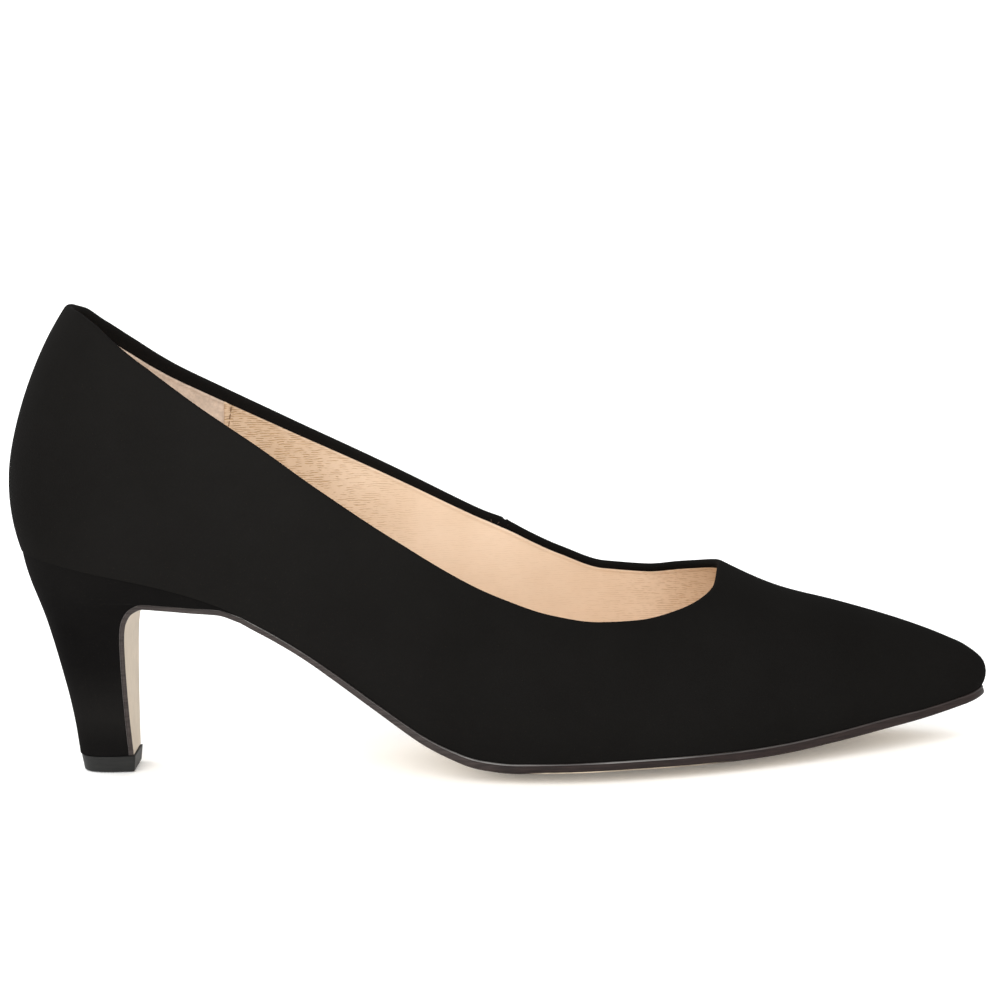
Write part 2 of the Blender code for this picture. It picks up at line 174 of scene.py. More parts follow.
# Front of the heel from the tip to its tongue, half width there, the heel's back at the same level, the
# share of the seat's outline that the level has taken on, and the thickness of the sole's flap there
HEEL = table(
    "front_x front_z half  back_x back_z seat  flap",
    (27.7,   4.6,    7.0,  13.9,  4.6,   0.0,  1.3),
    (27.7,   12.0,   9.0,  13.3,  12.0,  0.0,  1.3),
    (27.8,   20.0,   11.0, 12.3,  19.5,  0.0,  1.3),
    (28.0,   28.0,   12.8, 10.8,  27.5,  0.0,  1.3),
    (28.4,   36.0,   14.6, 9.1,   35.5,  0.0,  1.3),
    (29.2,   41.2,   16.4, 7.8,   41.0,  0.0,  1.35),
    (31.8,   45.6,   18.4, 6.6,   45.5,  0.05, 1.45),
    (36.2,   47.5,   20.4, 5.6,   48.8,  0.12, 1.5),
    (42.0,   47.2,   22.0, 4.7,   52.2,  0.35, 1.55),
    (49.0,   46.55,  23.0, 3.6,   56.0,  0.65, 1.6),
    (56.0,   45.8,   23.4, 2.7,   59.8,  0.85, 1.65),
    (62.0,   43.4,   23.2, 2.6,   60.5,  1.0,  1.65),
)

# The sole between the shank and the heel's tongue
SHANK = table(
    "x     z      thick",
    (64.0, 42.25, 1.62),
)

# Profile of the sole's edge from its upper rim to the tread: how far it stands out, and the share of the
# sole's thickness below the rim. A bead under the rim, a shallow groove, the flat edge, the rounded corner
SOLE_EDGE = table(
    "grow   down",
    (-0.34, 0.000),
    (-0.10, 0.020),
    (0.02,  0.075),
    (0.05,  0.140),
    (0.00,  0.200),
    (-0.09, 0.245),
    (-0.08, 0.300),
    (-0.04, 0.480),
    (-0.05, 0.660),
    (-0.09, 0.790),
    (-0.15, 0.860),
    (-0.27, 0.940),
    (-0.50, 1.000),
)

# Faces of that profile: the bead, then the inked edge, then the corner, which is bare under the ball
BEAD_FACES = 3
INKED_FACES = 10

# How far the ink has left the corner along the shoe
BARE = table(
    "x      share",
    (134.0, 0.0),
    (139.0, 0.8),
    (153.0, 0.8),
    (166.0, 0.55),
    (178.0, 0.4),
    (187.0, 0.0),
)

# How far a painted highlight, a lighter grey glint, shows on the bead along the shoe
BEAD_PAINTED_GLINT = table(
    "x      share",
    (52.0,  0.4),
    (60.0,  0.85),
    (73.0,  0.6),
    (82.0,  0.1),
    (106.0, 0.1),
    (116.0, 0.65),
    (127.0, 0.85),
    (137.0, 0.35),
    (147.0, 0.15),
    (156.0, 0.8),
    (169.0, 0.9),
    (178.0, 0.3),
    (200.0, 0.25),
    (212.0, 0.1),
)

# Numbers of points
COLUMNS_PER_SPAN = 12
RAY_ROWS = 120
LOW_ROWS = 40
BAND_ROWS = 5
WALL_ROWS = 54
RIM_STEPS = 9
PLAN_STEPS = 14
GRIP_COLUMNS = 130
LINING_COLUMNS = 300
SOCK_ALONG = (28, 90, 18)
SOCK_ACROSS = 41
SOLE_TIP = 26
SOLE_ALONG = 110
SOLE_ACROSS = 21
HEEL_LEVELS = 78
HEEL_SIDE = 14
HEEL_BACK = 25
LIFT_CORNER = 6
STITCH_SEGMENTS = 8

# Places of points beside a line that needs them close: depths under the band, distances from the side
# seam, and columns beside the lining's rear edge; the even points keep clear of the last two
UNDER_BAND = np.array([0.2, 0.4, 0.65, 1.0, 1.6])
BESIDE_SEAM = np.array([-1.9, -1.3, -0.9, -0.6, -0.4, -0.2, -0.05, 0.1, 0.25, 0.45, 0.7, 1.1, 1.7])
BESIDE_EDGE = np.array([0.0, 0.1, 0.2, 0.35, 0.55, 0.8, 1.0, 1.2, 1.35, 1.5, 1.65, 1.8, 2.0, 2.4, 3.0])
SEAM_CLEAR = 2.3
EDGE_CLEAR = 4

# Points nearer than this are one point, and faces thinner than this are left out, in millimetres
MERGE = 0.002
THINNEST = 0.001

# Where the upper changes along the topline, in shares of its rows
PAD_ENDS = (0.04, 0.28)
BAND_NARROWS = (0.1, 0.7)
THROAT_DEEPENS = (0.945, 1.0)
CORNER_DEEPENS = (0.88, 1.0)

# Stations at the foot over which the rays turn to the vamp, and how near to its edge one may begin
VAMP_BEGINS = (112.0, 160.0)
RAY_LIMIT = 0.999

# Length of the suede's soft waves, and depth under the rim at which they begin
WAVE_LENGTH = 26.0
WAVES_BEGIN = (4.0, 14.0)

# The side seam: its turned edges, its groove, and what it does to the topline, with the depths at which
# the groove is full and the topline's change has ended
FOLD_PLACE = 0.9
FOLD_WIDTH = 0.5
GROOVE_WIDTH = 0.24
GROOVE_FULL = 5.0
STEP_RUN = (-8.0, -0.5)
LIFT_WIDTH = 3.5
NOTCH_WIDTH = 0.4
CHANGE_ENDS = 9.0
NO_SEAM = 99.0

# The lining's roll under the band
ROLL_PLACE = 0.5
ROLL_WIDTH = 0.32

# The lining's rear edge and its stitches lean back under the band, the stitches more
LEAN_DEPTH = 8.0
EDGE_LEAN = 0.6
STITCH_LEAN = 1.5

# Sizes and colours that a user would change


def linear(code):
    """Linear RGBA of an sRGB hex colour."""
    channels = [int(code[i : i + 2], 16) / 255 for i in (1, 3, 5)]
    return (*(c / 12.92 if c <= 0.04045 else ((c + 0.055) / 1.055) ** 2.4 for c in channels), 1.0)


def length(label, millimetres, text):
    return FloatProperty(name=label, description=text, default=millimetres * MM, unit="LENGTH", precision=5)


def angle(label, degrees, text):
    return FloatProperty(name=label, description=text, default=math.radians(degrees), unit="ROTATION")


def colour(label, code, text):
    return FloatVectorProperty(
        name=label, description=text, default=linear(code), subtype="COLOR", size=4, min=0.0, max=1.0
    )


class PumpSizes(bpy.types.PropertyGroup):
    """Sizes of what is laid on the last."""

    rim: length("Rim", 1.9, "Thickness of the folded topline")
    heel_pad: length("Heel pad", 0.8, "How much thicker the rim is at the back of the heel")
    rim_lift: length("Rim lift", 0.3, "How far the rim's round top stands above the last's topline")
    suede: length("Suede", 0.95, "Thickness of the upper's suede")
    band_heel: length("Band at the heel", 3.5, "Depth of the suede band inside the topline at the heel")
    band_side: length("Band at the side", 1.5, "Depth of the suede band inside the topline at the side")
    band_throat: length("Band at the throat", 4.2, "Depth of the suede band inside the throat")
    band_corner: length("Band corner", 1.4, "How much deeper the band is in the middle of the throat")
    band_step: length("Band step", 0.18, "How far the band stands over the lining's face")
    edge_roll: length("Lining roll", 0.18, "Height of the lining's roll under the band")
    lining: length("Lining", 0.62, "Thickness of the lining leather")
    grip_edge: length("Lining edge", 55.0, "Distance of the lining's rear edge from the back of the shoe")
    seam_inset: length("Seam inset", 1.85, "Distance of the lining's stitches from its rear edge")
    stitch: length("Stitch", 1.7, "Length of one stitch")
    thread: length("Thread", 0.27, "Thickness of the thread")
    lining_lip: length("Lining lip", 0.3, "How far the lining's rear edge stands over the heel grip")
    stitch_dent: length("Stitch dent", 0.14, "How deep the stitches pull the lining in")
    side_seam: length("Side seam", 127.6, "Distance of the medial seam from the back of the shoe")
    seam_groove: length("Seam groove", 0.34, "Depth of the medial seam")
    seam_fold: length("Seam fold", 0.1, "Height of the turned edges beside the medial seam")
    seam_step: length("Seam step", 0.15, "How far the topline steps down at the medial seam")
    seam_lift: length("Seam lift", 0.4, "How far the doubled leather lifts the topline at the seam")
    seam_notch: length("Seam notch", 0.12, "Depth of the seam's notch in the topline")
    waviness: length("Waviness", 0.12, "Height of the soft unevenness of the suede")


class PumpColours(bpy.types.PropertyGroup):
    """Colours of the materials."""

    # Between these two the suede follows the nap's random patches and also the painted light and shade of
    # the pieces' stretches
    suede_dark: colour("Suede shade", "#100f0e", "Suede where the nap lies down")
    suede_light: colour("Suede light", "#1b1a19", "Suede where the nap stands up")
    # Painted shade: the heel cover is the upper's suede, given a darker shade colour than the upper's
    heel_dark: colour("Heel shade", "#0b0a0a", "Heel cover where the nap lies down")
    heel_light: colour("Heel light", "#1a1918", "Heel cover where the nap stands up")
    lining: colour("Lining", "#e9d2b9", "Lining leather")
    # Painted shade: the darker lining colour, mixed in along the creases, at the heel end and at the throat
    lining_painted_shade: colour("Lining shade", "#bf9f7a", "Lining leather in its creases")
    grip: colour("Heel grip", "#d7c4b2", "Roughed leather inside the heel")
    sole: colour("Sole", "#bcad98", "Natural sole leather")
    ink: colour("Edge ink", "#1f1614", "Burnished ink of the sole's edge")
    worn_ink: colour("Worn ink", "#322c2a", "Ink of the sole's edge in the waist")
    # Painted highlight: the glints along the bead of the sole's edge, painted as a lighter grey
    bead_painted_glint: colour("Edge polish", "#656361", "Bead of the sole's edge where the wax is rubbed up")
    rubber: colour("Rubber", "#1f1f1e", "Rubber of the top piece")
    thread: colour("Thread", "#7d5c3c", "Thread of the lining seam")
    tack: colour("Tack", "#3b2b24", "Thread of the stitches that hold the side seam")
    floor: colour("Floor", "#fbfbfa", "Studio floor")


class PumpView(bpy.types.PropertyGroup):
    """The camera's place."""

    azimuth: angle("Azimuth", 3.6, "Camera's turn from the shoe's lateral side towards the toe")
    elevation: angle("Elevation", 10.5, "Camera's angle above the floor")
    roll: angle("Roll", 3.0, "Camera's roll")
    distance: length("Distance", 1050.0, "Camera's distance from the middle of the shoe")
    target_height: length("Target height", 55.0, "Height of the point that the camera is turned to")


def in_mm(group):
    """A group's lengths in millimetres, the tables' unit."""
    return SimpleNamespace(**{name: getattr(group, name) / MM for name in group.__annotations__})


# Curves through the tables


def smooth(x, knots, values):
    """Smooth curve through a table's column that never overshoots its rows."""
    x = np.clip(np.asarray(x, float), knots[0], knots[-1])
    step = np.diff(knots)
    slope = np.diff(values) / step
    tangent = np.zeros_like(values)
    tangent[0] = slope[0]
    tangent[-1] = slope[-1]
    rising = slope[:-1] * slope[1:] > 0
    before = 2 * step[1:] + step[:-1]
    after = step[1:] + 2 * step[:-1]
    with np.errstate(divide="ignore", invalid="ignore"):
        mean = (before + after) / (before / slope[:-1] + after / slope[1:])
    tangent[1:-1] = np.where(rising, mean, 0.0)
    i = np.clip(np.searchsorted(knots, x, side="right") - 1, 0, len(step) - 1)
    t = (x - knots[i]) / step[i]
    return (
        values[i] * (1 + 2 * t) * (1 - t) ** 2
        + values[i + 1] * t**2 * (3 - 2 * t)
        + step[i] * tangent[i] * t * (1 - t) ** 2
        - step[i] * tangent[i + 1] * t**2 * (1 - t)
    )


def along_rows(t, values):
    """A column of a table read by the share of its rows instead of by a length."""
    return smooth(t, np.linspace(0, 1, len(values)), values)


def ease(x, start, end):
    """0 before start, 1 after end, smooth between them."""
    t = np.clip((x - start) / (end - start), 0, 1)
    return t * t * (3 - 2 * t)


def ridge(distance, width):
    """A soft ridge of height 1 about distance 0."""
    return np.exp(-((distance / width) ** 2))


def unit(vectors):
    """Vectors of length 1."""
    return vectors / np.linalg.norm(vectors, axis=-1, keepdims=True)


def run_along(lines):
    """Length along lines of points, up to each of their points."""
    steps = np.linalg.norm(np.diff(lines, axis=0), axis=-1)
    return np.concatenate([np.zeros_like(steps[:1]), np.cumsum(steps, axis=0)])


def at_lengths(line, run, lengths):
    """Points at lengths along a line of points; run is what run_along gives for it."""
    return np.stack([np.interp(lengths, run, line[:, axis]) for axis in range(3)], axis=-1)


def bottom(x, share):
    """Height of the last's bottom at a share of its half width."""
    beyond = np.clip((np.abs(share) - FLAT_SHARE) / (1 - FLAT_SHARE), 0, None)
    rise = smooth(x, BOTTOM["x"], BOTTOM["edge_rise"]) * beyond**2
    return smooth(x, BOTTOM["x"], BOTTOM["middle"]) + rise


def last_size(x, column):
    """One column of the last's sections at x."""
    return smooth(x, LAST["x"], LAST[column])


def half_width(x, side, level):
    """Half width of the last at its foot or its wall, on each point's own side."""
    return np.where(side < 0, last_size(x, level + "_lat"), last_size(x, level + "_med"))


def foot_half(x, side, grow):
    """Half width of the foot outline at x, with its edge moved out by grow."""
    heel = np.clip((HEEL_AXIS - x) / (HEEL_AXIS - SEAT_BACK + grow), 0, 1)
    toe = np.clip((x - TOE_AXIS) / (TOE_FEATHER - TOE_AXIS + grow), 0, 1)
    round_heel = np.sqrt(1 - heel**2)
    return (half_width(x, side, "foot") + grow) * round_heel * (1 - toe**TOE_POINT) ** (1 / TOE_POINT)


def reach(along, across, end, half, point):
    """Radius of a rounded end; point is ELLIPSE, or less for a more pointed end."""
    return ((np.abs(along) / end) ** point + (across / half) ** point) ** (-1 / point)


def topline_station(t):
    """Station of the topline, which turns square to the shoe's middle at the throat."""
    stations = np.append(TOPLINE["station"], TOPLINE["station"][-2])
    return smooth(t, np.arange(TOP_SPANS + 2) / TOP_SPANS, stations)


def topline_height(t, side):
    """Height of the topline, level where its two sides meet at the back and at the throat."""
    near, far = ("lateral", "medial") if side < 0 else ("medial", "lateral")
    heights = np.concatenate([TOPLINE[far][1:2], TOPLINE[near], TOPLINE[far][-2:-1]])
    return smooth(t, np.arange(-1, TOP_SPANS + 2) / TOP_SPANS, heights)


# The last's surface


def section(station, side):
    """What fixes the upright sections of the last at these stations."""
    station, side = np.broadcast_arrays(np.asarray(station, float), np.asarray(side, float))
    heel = QUARTER_TURN * np.clip(-station / HEEL_ARC, 0, 1)
    toe = QUARTER_TURN * np.clip((station - FORE) / TOE_ARC, 0, 1)
    axis = HEEL_AXIS + np.clip(station, 0, FORE)
    along = np.sin(toe) - np.sin(heel)
    across = np.cos(np.maximum(heel, toe))
    ahead = station > FORE
    behind = station < 0
    point = np.where(ahead, TOE_POINT, ELLIPSE)
    foot_end = np.where(ahead, TOE_FEATHER - TOE_AXIS, HEEL_AXIS - SEAT_BACK)
    wall_end = np.where(ahead, TOE_BULGE - TOE_AXIS, HEEL_AXIS - HEEL_BULGE_BACK)
    foot = reach(along, across, foot_end, half_width(axis, side, "foot"), point)
    wall = reach(along, across, wall_end, half_width(axis, side, "wall"), point)
    feather = bottom(axis + along * foot, 1.0) + GAP / 2
    backward = np.where(behind, along**2, 0.0)
    low = last_size(axis, "wall_high")
    low = low + (HEEL_BACK_LOW - low) * backward
    comb = last_size(axis, "comb") + np.where(behind, feather - bottom(axis, 0.0), 0.0)
    top = comb - feather - low
    top = top + (HEEL_BACK_TOP - top) * backward
    slope = last_size(TOE_AXIS, "comb") - last_size(TOE_AXIS - 1, "comb")
    return SimpleNamespace(
        side=side,
        axis=axis,
        along=along,
        across=across,
        foot=foot,
        wall=wall,
        feather=feather,
        low=low,
        top=top,
        comb_y=last_size(axis, "comb_y"),
        lean=last_size(axis, "lean"),
        power=2 / last_size(axis, "fullness"),
        tilt=np.where(ahead, slope, 0.0),
    )


def last_point(station, girth, side):
    """The upper's outer face; girth is 0 at the feather edge, 1 at the comb, side -1 lateral, 1 medial."""
    station, girth, side = np.broadcast_arrays(station, girth, side)
    s = section(station, side)
    low = girth < LOW_SHARE
    t = girth / LOW_SHARE
    turn = QUARTER_TURN * np.clip((girth - LOW_SHARE) / (1 - LOW_SHARE), 0, 1)
    out_low = s.foot + (s.wall - s.foot) * (1 - (1 - t) ** 2)
    out_high = s.wall * np.maximum(np.cos(turn), 0) ** s.power
    out = np.where(low, out_low, out_high)
    up = np.where(low, s.low * t, s.low + s.top * np.sin(turn) ** s.power)
    over = np.where(low, 0.0, np.sin(turn) ** 2)
    forward = s.along * out
    x = s.axis + forward + s.lean * up
    y = s.side * s.across * out + s.comb_y * over
    z = s.feather + up + s.tilt * forward * over
    return np.stack([x, y, z], axis=-1)


def over_plan(x, y):
    """Station, girth and side of the vamp's point above each place on the floor."""
    axis = np.minimum(x, TOE_AXIS)
    ahead = np.maximum(x - TOE_AXIS, 0)
    point = np.where(ahead > 0, TOE_POINT, ELLIPSE)
    fullness = last_size(axis, "fullness")
    share = np.zeros_like(x)
    for _ in range(PLAN_STEPS):
        off = y - last_size(axis, "comb_y") * (1 - share**fullness)
        side = np.where(off < 0, -1.0, 1.0)
        turn = np.arctan2(ahead, np.abs(off))
        half = half_width(axis, side, "wall")
        limit = reach(np.sin(turn), np.cos(turn), TOE_BULGE - TOE_AXIS, half, point)
        share = np.clip(np.hypot(ahead, off) / limit, 0, 1)
    station = np.where(ahead > 0, FORE + TOE_ARC * turn / QUARTER_TURN, x - HEEL_AXIS)
    girth = LOW_SHARE + (1 - LOW_SHARE) * np.arccos(share ** (fullness / 2)) / QUARTER_TURN
    return station, girth, side


def rays(t, side):
    """Rays from the topline to the feather edge on the outer face: down the sides, forward over the vamp."""
    top = topline_station(t)
    foot = along_rows(t, TOPLINE["ray"])
    s = section(top, side)
    rise = np.clip((topline_height(t, side) - s.feather - s.low) / s.top, 0, 1)
    turn = np.where(t >= 1, QUARTER_TURN, np.arcsin(rise ** (1 / s.power)))
    start = LOW_SHARE + (1 - LOW_SHARE) * turn / QUARTER_TURN
    r = np.linspace(0, 1, RAY_ROWS)[:, None]
    station = top + (foot - top) * r
    girth = start + (LOW_SHARE - start) * r
    first = np.arcsin(np.minimum(np.maximum(np.cos(turn), 0) ** s.power, RAY_LIMIT))
    share = np.sin(first + (QUARTER_TURN - first) * r)
    share = (share - np.sin(first)) / (1 - np.sin(first))
    begin = last_point(top, start, side)
    end = last_point(foot, LOW_SHARE, side)
    plan = begin[None, :, :2] + (end - begin)[None, :, :2] * share[:, :, None]
    vamp_station, vamp_girth, vamp_side = over_plan(plan[..., 0], plan[..., 1])
    vamp = ease(foot, *VAMP_BEGINS)
    station = station + (vamp_station - station) * vamp
    girth = girth + (vamp_girth - girth) * vamp
    upper = last_point(station, girth, np.where(vamp > 0.5, vamp_side, side))
    lower = last_point(foot, LOW_SHARE * np.linspace(1, 0, LOW_ROWS)[1:, None], side)
    return np.concatenate([upper, lower])


def tangents(ring):
    """Directions along a closed ring of points."""
    return unit(np.roll(ring, -1, axis=0) - np.roll(ring, 1, axis=0))


def outward(points):
    """Outward normals of closed rings of points that run from the topline down."""
    around = np.roll(points, -1, axis=1) - np.roll(points, 1, axis=1)
    return unit(np.cross(np.gradient(points, axis=0), around))


def outer_face(sizes, seam=True):
    """The suede's outer face as rings from the rim to the feather edge, and what varies round it."""
    t = np.linspace(0, 1, TOP_SPANS * COLUMNS_PER_SPAN + 1)
    station = topline_station(t)
    seam_t = np.interp(sizes.side_seam - HEEL_AXIS, station, t)
    t_per_mm = np.interp(seam_t, t, np.gradient(t, station))
    near_seam = seam_t + BESIDE_SEAM * t_per_mm
    clear_t = t[np.abs(t - seam_t) > SEAM_CLEAR * t_per_mm]
    medial_t = np.sort(np.concatenate([clear_t, near_seam]))[::-1]
    lines = np.concatenate([rays(t, -1), rays(medial_t, 1)[:, 1:-1]], axis=1)
    columns_t = np.concatenate([t, medial_t[1:-1]])
    travelled = run_along(lines)
    square = np.linalg.norm(np.cross(unit(lines[3] - lines[0]), tangents(lines[0])), axis=-1)
    rim = sizes.rim + sizes.heel_pad * (1 - ease(columns_t, *PAD_ENDS))
    band = sizes.band_heel + (sizes.band_side - sizes.band_heel) * ease(columns_t, *BAND_NARROWS)
    band = band + (sizes.band_throat - sizes.band_side) * ease(columns_t, *THROAT_DEEPENS)
    band = band + sizes.band_corner * ease(columns_t, *CORNER_DEEPENS)
    near = np.linspace(0, 1, BAND_ROWS)[:, None]
    first = rim / 2 - sizes.rim_lift
    depth = np.concatenate([first + (band - first) * near, band + UNDER_BAND[:, None]])
    share = np.linspace(0, 1, WALL_ROWS + 1)[1:, None]
    depth = np.concatenate([depth, depth[-1] + (travelled[-1] * square - depth[-1]) * share])
    columns = zip(lines.swapaxes(0, 1), travelled.T, (depth / square).T)
    points = np.stack([at_lengths(*column) for column in columns], axis=1)
    out = outward(points)
    wave = np.array([[noise.noise(Vector(p) / WAVE_LENGTH) for p in ring] for ring in points])
    points += out * (wave * sizes.waviness * ease(depth, *WAVES_BEGIN))[..., None]
    medial = np.arange(len(columns_t)) >= len(t)
    from_seam = np.where(medial, (columns_t - seam_t) / t_per_mm, NO_SEAM)
    if seam:
        groove = sizes.seam_fold * ridge(np.abs(from_seam) - FOLD_PLACE, FOLD_WIDTH)
        groove = groove - sizes.seam_groove * ridge(from_seam, GROOVE_WIDTH)
        points += out * (groove * (1 + ease(depth, 0.0, GROOVE_FULL)) / 2)[..., None]
        behind = np.where(from_seam < 0, ease(from_seam, *STEP_RUN), 0.0)
        rise = sizes.seam_step * behind + sizes.seam_lift * ridge(from_seam, LIFT_WIDTH)
        rise = rise - sizes.seam_notch * ridge(from_seam, NOTCH_WIDTH)
        points[..., 2] += rise * (1 - ease(depth, 0.0, CHANGE_ENDS))
    return SimpleNamespace(
        points=points, out=outward(points), columns_t=columns_t, depth=depth, rim=rim, from_seam=from_seam
    )


def rim_rows(face):
    """Rings over the folded rim, from the outer face to the inner."""
    edge, out = face.points[0], face.out[0]
    up = unit(np.cross(out, tangents(edge)))
    radius = face.rim[:, None] / 2
    turns = np.linspace(0, math.pi, RIM_STEPS + 1)[1:-1, None, None]
    return edge - out * radius + radius * (np.cos(turns) * out + np.sin(turns) * up)


# Meshes


def in_frame(points):
    """Millimetres on the last to metres in the frame."""
    return (np.asarray(points) - (SHOE_LENGTH / 2, BOX_MIDDLE_Y, 0.0)) * MM


def sheet_mesh(points, ring=False, closed=False, paint=None):
    """A grid laid on rows of points.

    ring joins the ends of the rows and closed the last row to the first; paint gives a face's material by
    its row and column.
    """
    points = in_frame(points)
    if ring:
        points = np.concatenate([points, points[:, :1]], axis=1)
    if closed:
        points = np.concatenate([points, points[:1]])
    rows, columns = points.shape[:2]
    bm = bmesh.new()
    bmesh.ops.create_grid(bm, x_segments=columns - 1, y_segments=rows - 1, size=0.5)
    if paint:
        for face in bm.faces:
            middle = face.calc_center_median()
            row = int((middle.y + 0.5) * (rows - 1))
            column = int((middle.x + 0.5) * (columns - 1))
            face.material_index = paint(row, column)
    for vert in bm.verts:
        column = round((vert.co.x + 0.5) * (columns - 1))
        row = round((vert.co.y + 0.5) * (rows - 1))
        vert.co = points[row, column]
    bmesh.ops.remove_doubles(bm, verts=bm.verts, dist=MERGE * MM)
    bmesh.ops.dissolve_degenerate(bm, edges=bm.edges, dist=THINNEST * MM)
    return bm


def close_ends(bm):
    """Closes the open ends of a stack of rings and turns its faces out."""
    bmesh.ops.holes_fill(bm, edges=[edge for edge in bm.edges if edge.is_boundary], sides=0)
    bmesh.ops.recalc_face_normals(bm, faces=bm.faces)
    return bm


def new_object(name, bm, finishes):
    """Adds a mesh to the scene with its materials."""
    mesh = bpy.data.meshes.new(name)
    bm.to_mesh(mesh)
    bm.free()
    for finish in finishes:
        mesh.materials.append(finish)
    made = bpy.data.objects.new(name, mesh)
    bpy.context.scene.collection.objects.link(made)
    return made


def add_piece(name, bm, finishes, replaces=(), sharp=50.0):
    """Adds a mesh to the scene as a piece that rides on the shoe."""
    piece = new_object(name, bm, finishes)
    piece.data.shade_smooth()
    piece.data.set_sharp_from_angle(angle=math.radians(sharp))
    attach(piece, BODY)
    if replaces:
        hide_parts(*replaces)
    return piece


def add_stitch(bm, start, end, thickness):
    """Adds one stitch between two points, as a slim ellipsoid of thread."""
    start, end = Vector(in_frame(start)), Vector(in_frame(end))
    half = thickness / 2 * MM
    shape = Matrix.Diagonal((half, half, (end - start).length / 2, 1))
    turn = (end - start).to_track_quat("Z", "Y").to_matrix().to_4x4()
    place = Matrix.Translation((start + end) / 2) @ turn @ shape
    bmesh.ops.create_uvsphere(
        bm, u_segments=STITCH_SEGMENTS, v_segments=STITCH_SEGMENTS, radius=1.0, matrix=place
    )


def thicken(piece, millimetres):
    """Gives an open sheet its thickness, behind its face."""
    wall = piece.modifiers.new("thickness", "SOLIDIFY")
    wall.thickness = millimetres * MM
    wall.offset = -1.0


# Materials

# The Mix node set for colours: its inputs, whose names repeat, and its settings
FACTOR, COLOUR_A, COLOUR_B = 0, 6, 7
MIX = {"output": 2, "data_type": "RGBA"}
MULTIPLY = {**MIX, "blend_type": "MULTIPLY"}

# Two values of a pattern and what they are turned into
RANGE = ("From Min", "From Max", "To Min", "To Max")

# Length of one wave of the wave texture at scale 1
WAVE = math.tau / 20

# How slack the kid is in the middle of the shoe, and stretches where it is slacker and where it is painted
# darker, painted shade far back in the heel and at the throat under the vamp: an axis, where the stretch
# begins and is full along it, in the frame's millimetres, and how much
KID_TAUT = 0.12
KID_SLACK = (("X", -20.0, -55.0, 0.88), ("X", 20.0, 45.0, 0.42))
KID_PAINTED_SHADE = (("X", -20.0, -60.0, 0.34), ("X", 40.0, 58.0, 0.38))

# The stretch where the ink of the sole's edge is worn, and the whole shoe
INK_WORN = (("X", 8.0, -22.0, 1.0),)
WHOLE = (("X", -SHOE_LENGTH / 2, SHOE_LENGTH / 2, 1.0),)


def per_mm(size):
    """Texture scale at which a pattern repeats about every size millimetres."""
    return 1 / (size * MM)


def add_node(tree, kind, inputs, output=0, **settings):
    """Adds a node with its settings; gives one of its outputs, or the node where output is None.

    Inputs are linked where they are sockets, set where they are values.
    """
    made = tree.nodes.new("ShaderNode" + kind)
    for name, value in settings.items():
        setattr(made, name, value)
    for name, value in inputs.items():
        if isinstance(value, bpy.types.NodeSocket):
            tree.links.new(value, made.inputs[name])
        else:
            made.inputs[name].default_value = value
    return made if output is None else made.outputs[output]


def new_material(name):
    """An empty material, the function that adds its nodes, and the object's own coordinates."""
    made = bpy.data.materials.new(name)
    made.use_nodes = True
    made.node_tree.nodes.clear()
    node = partial(add_node, made.node_tree)
    return made, node, node("TexCoord", {}, output="Object")


def stretches(node, place, rows):
    """Patterns that rise along an axis, for summed."""
    axes = node("SeparateXYZ", {"Vector": place}, output=None).outputs
    return [(axes[axis], start * MM, end * MM, amount) for axis, start, end, amount in rows]


def summed(node, patterns, first=0.0):
    """Sum of patterns, each with the values at which it begins and is full, and how much it then adds."""
    total = first
    for pattern, start, end, amount in patterns:
        part = node("MapRange", {"Value": pattern, **dict(zip(RANGE, (start, end, 0.0, amount)))})
        total = node("Math", {0: total, 1: part}, operation="ADD")
    return total


def toned(node, colour, pattern, *limits):
    """A colour times a factor that follows a pattern; limits are two of its values and the factors there."""
    factor = node("MapRange", {"Value": pattern, **dict(zip(RANGE, limits))})
    return node("Mix", {FACTOR: 1.0, COLOUR_A: colour, COLOUR_B: factor}, **MULTIPLY)


def finished(made, node, looks, relief=None, **bump):
    """Ends a material with its shader; relief is a pattern, its strength and its height in millimetres."""
    if relief:
        pattern, strength, height = relief
        raised = {"Height": pattern, "Strength": strength, "Distance": height * MM}
        looks = {**looks, "Normal": node("Bump", raised, **bump)}
    node("OutputMaterial", {"Surface": node("BsdfPrincipled", looks)}, output=None)
    return made


def black_suede(name, dark, light, raised):
    """Calf suede, dyed through and brushed: a dull black velvet, patchy where the nap lies another way.

    raised gives stretches along the shoe that are painted lighter or darker: painted light and shade where
    the suede is lit more or less.
    """
    made, node, place = new_material(name)
    brushed = node("Mapping", {"Vector": place, "Scale": (0.7, 1.0, 1.0)})
    patches = node("TexNoise", {"Vector": place, "Scale": per_mm(34), "Detail": 3.0, "Roughness": 0.55})
    strokes = node("TexNoise", {"Vector": brushed, "Scale": per_mm(3.2), "Detail": 4.0, "Roughness": 0.6})
    # The nap's own 0.1 mm is too fine to show, so it is drawn coarser
    nap = node("TexNoise", {"Vector": place, "Scale": per_mm(0.5), "Detail": 2.0, "Roughness": 0.7})
    uneven = [(patches, 0.34, 0.66, 0.2), (strokes, 0.3, 0.7, 0.06), (nap, 0.3, 0.7, 0.1)]
    # The nap's random patches, plus the painted light and shade of the stretches
    nap_and_painted_light = summed(node, uneven + stretches(node, place, raised))
    looks = {
        "Base Color": node("Mix", {FACTOR: nap_and_painted_light, COLOUR_A: dark[:], COLOUR_B: light[:]}, **MIX),
        "Roughness": 0.95,
        "Specular IOR Level": 0.01,
        "Sheen Weight": 0.005,
        "Sheen Roughness": 0.5,
    }
    return finished(made, node, looks, relief=(nap, 0.4, 0.12))


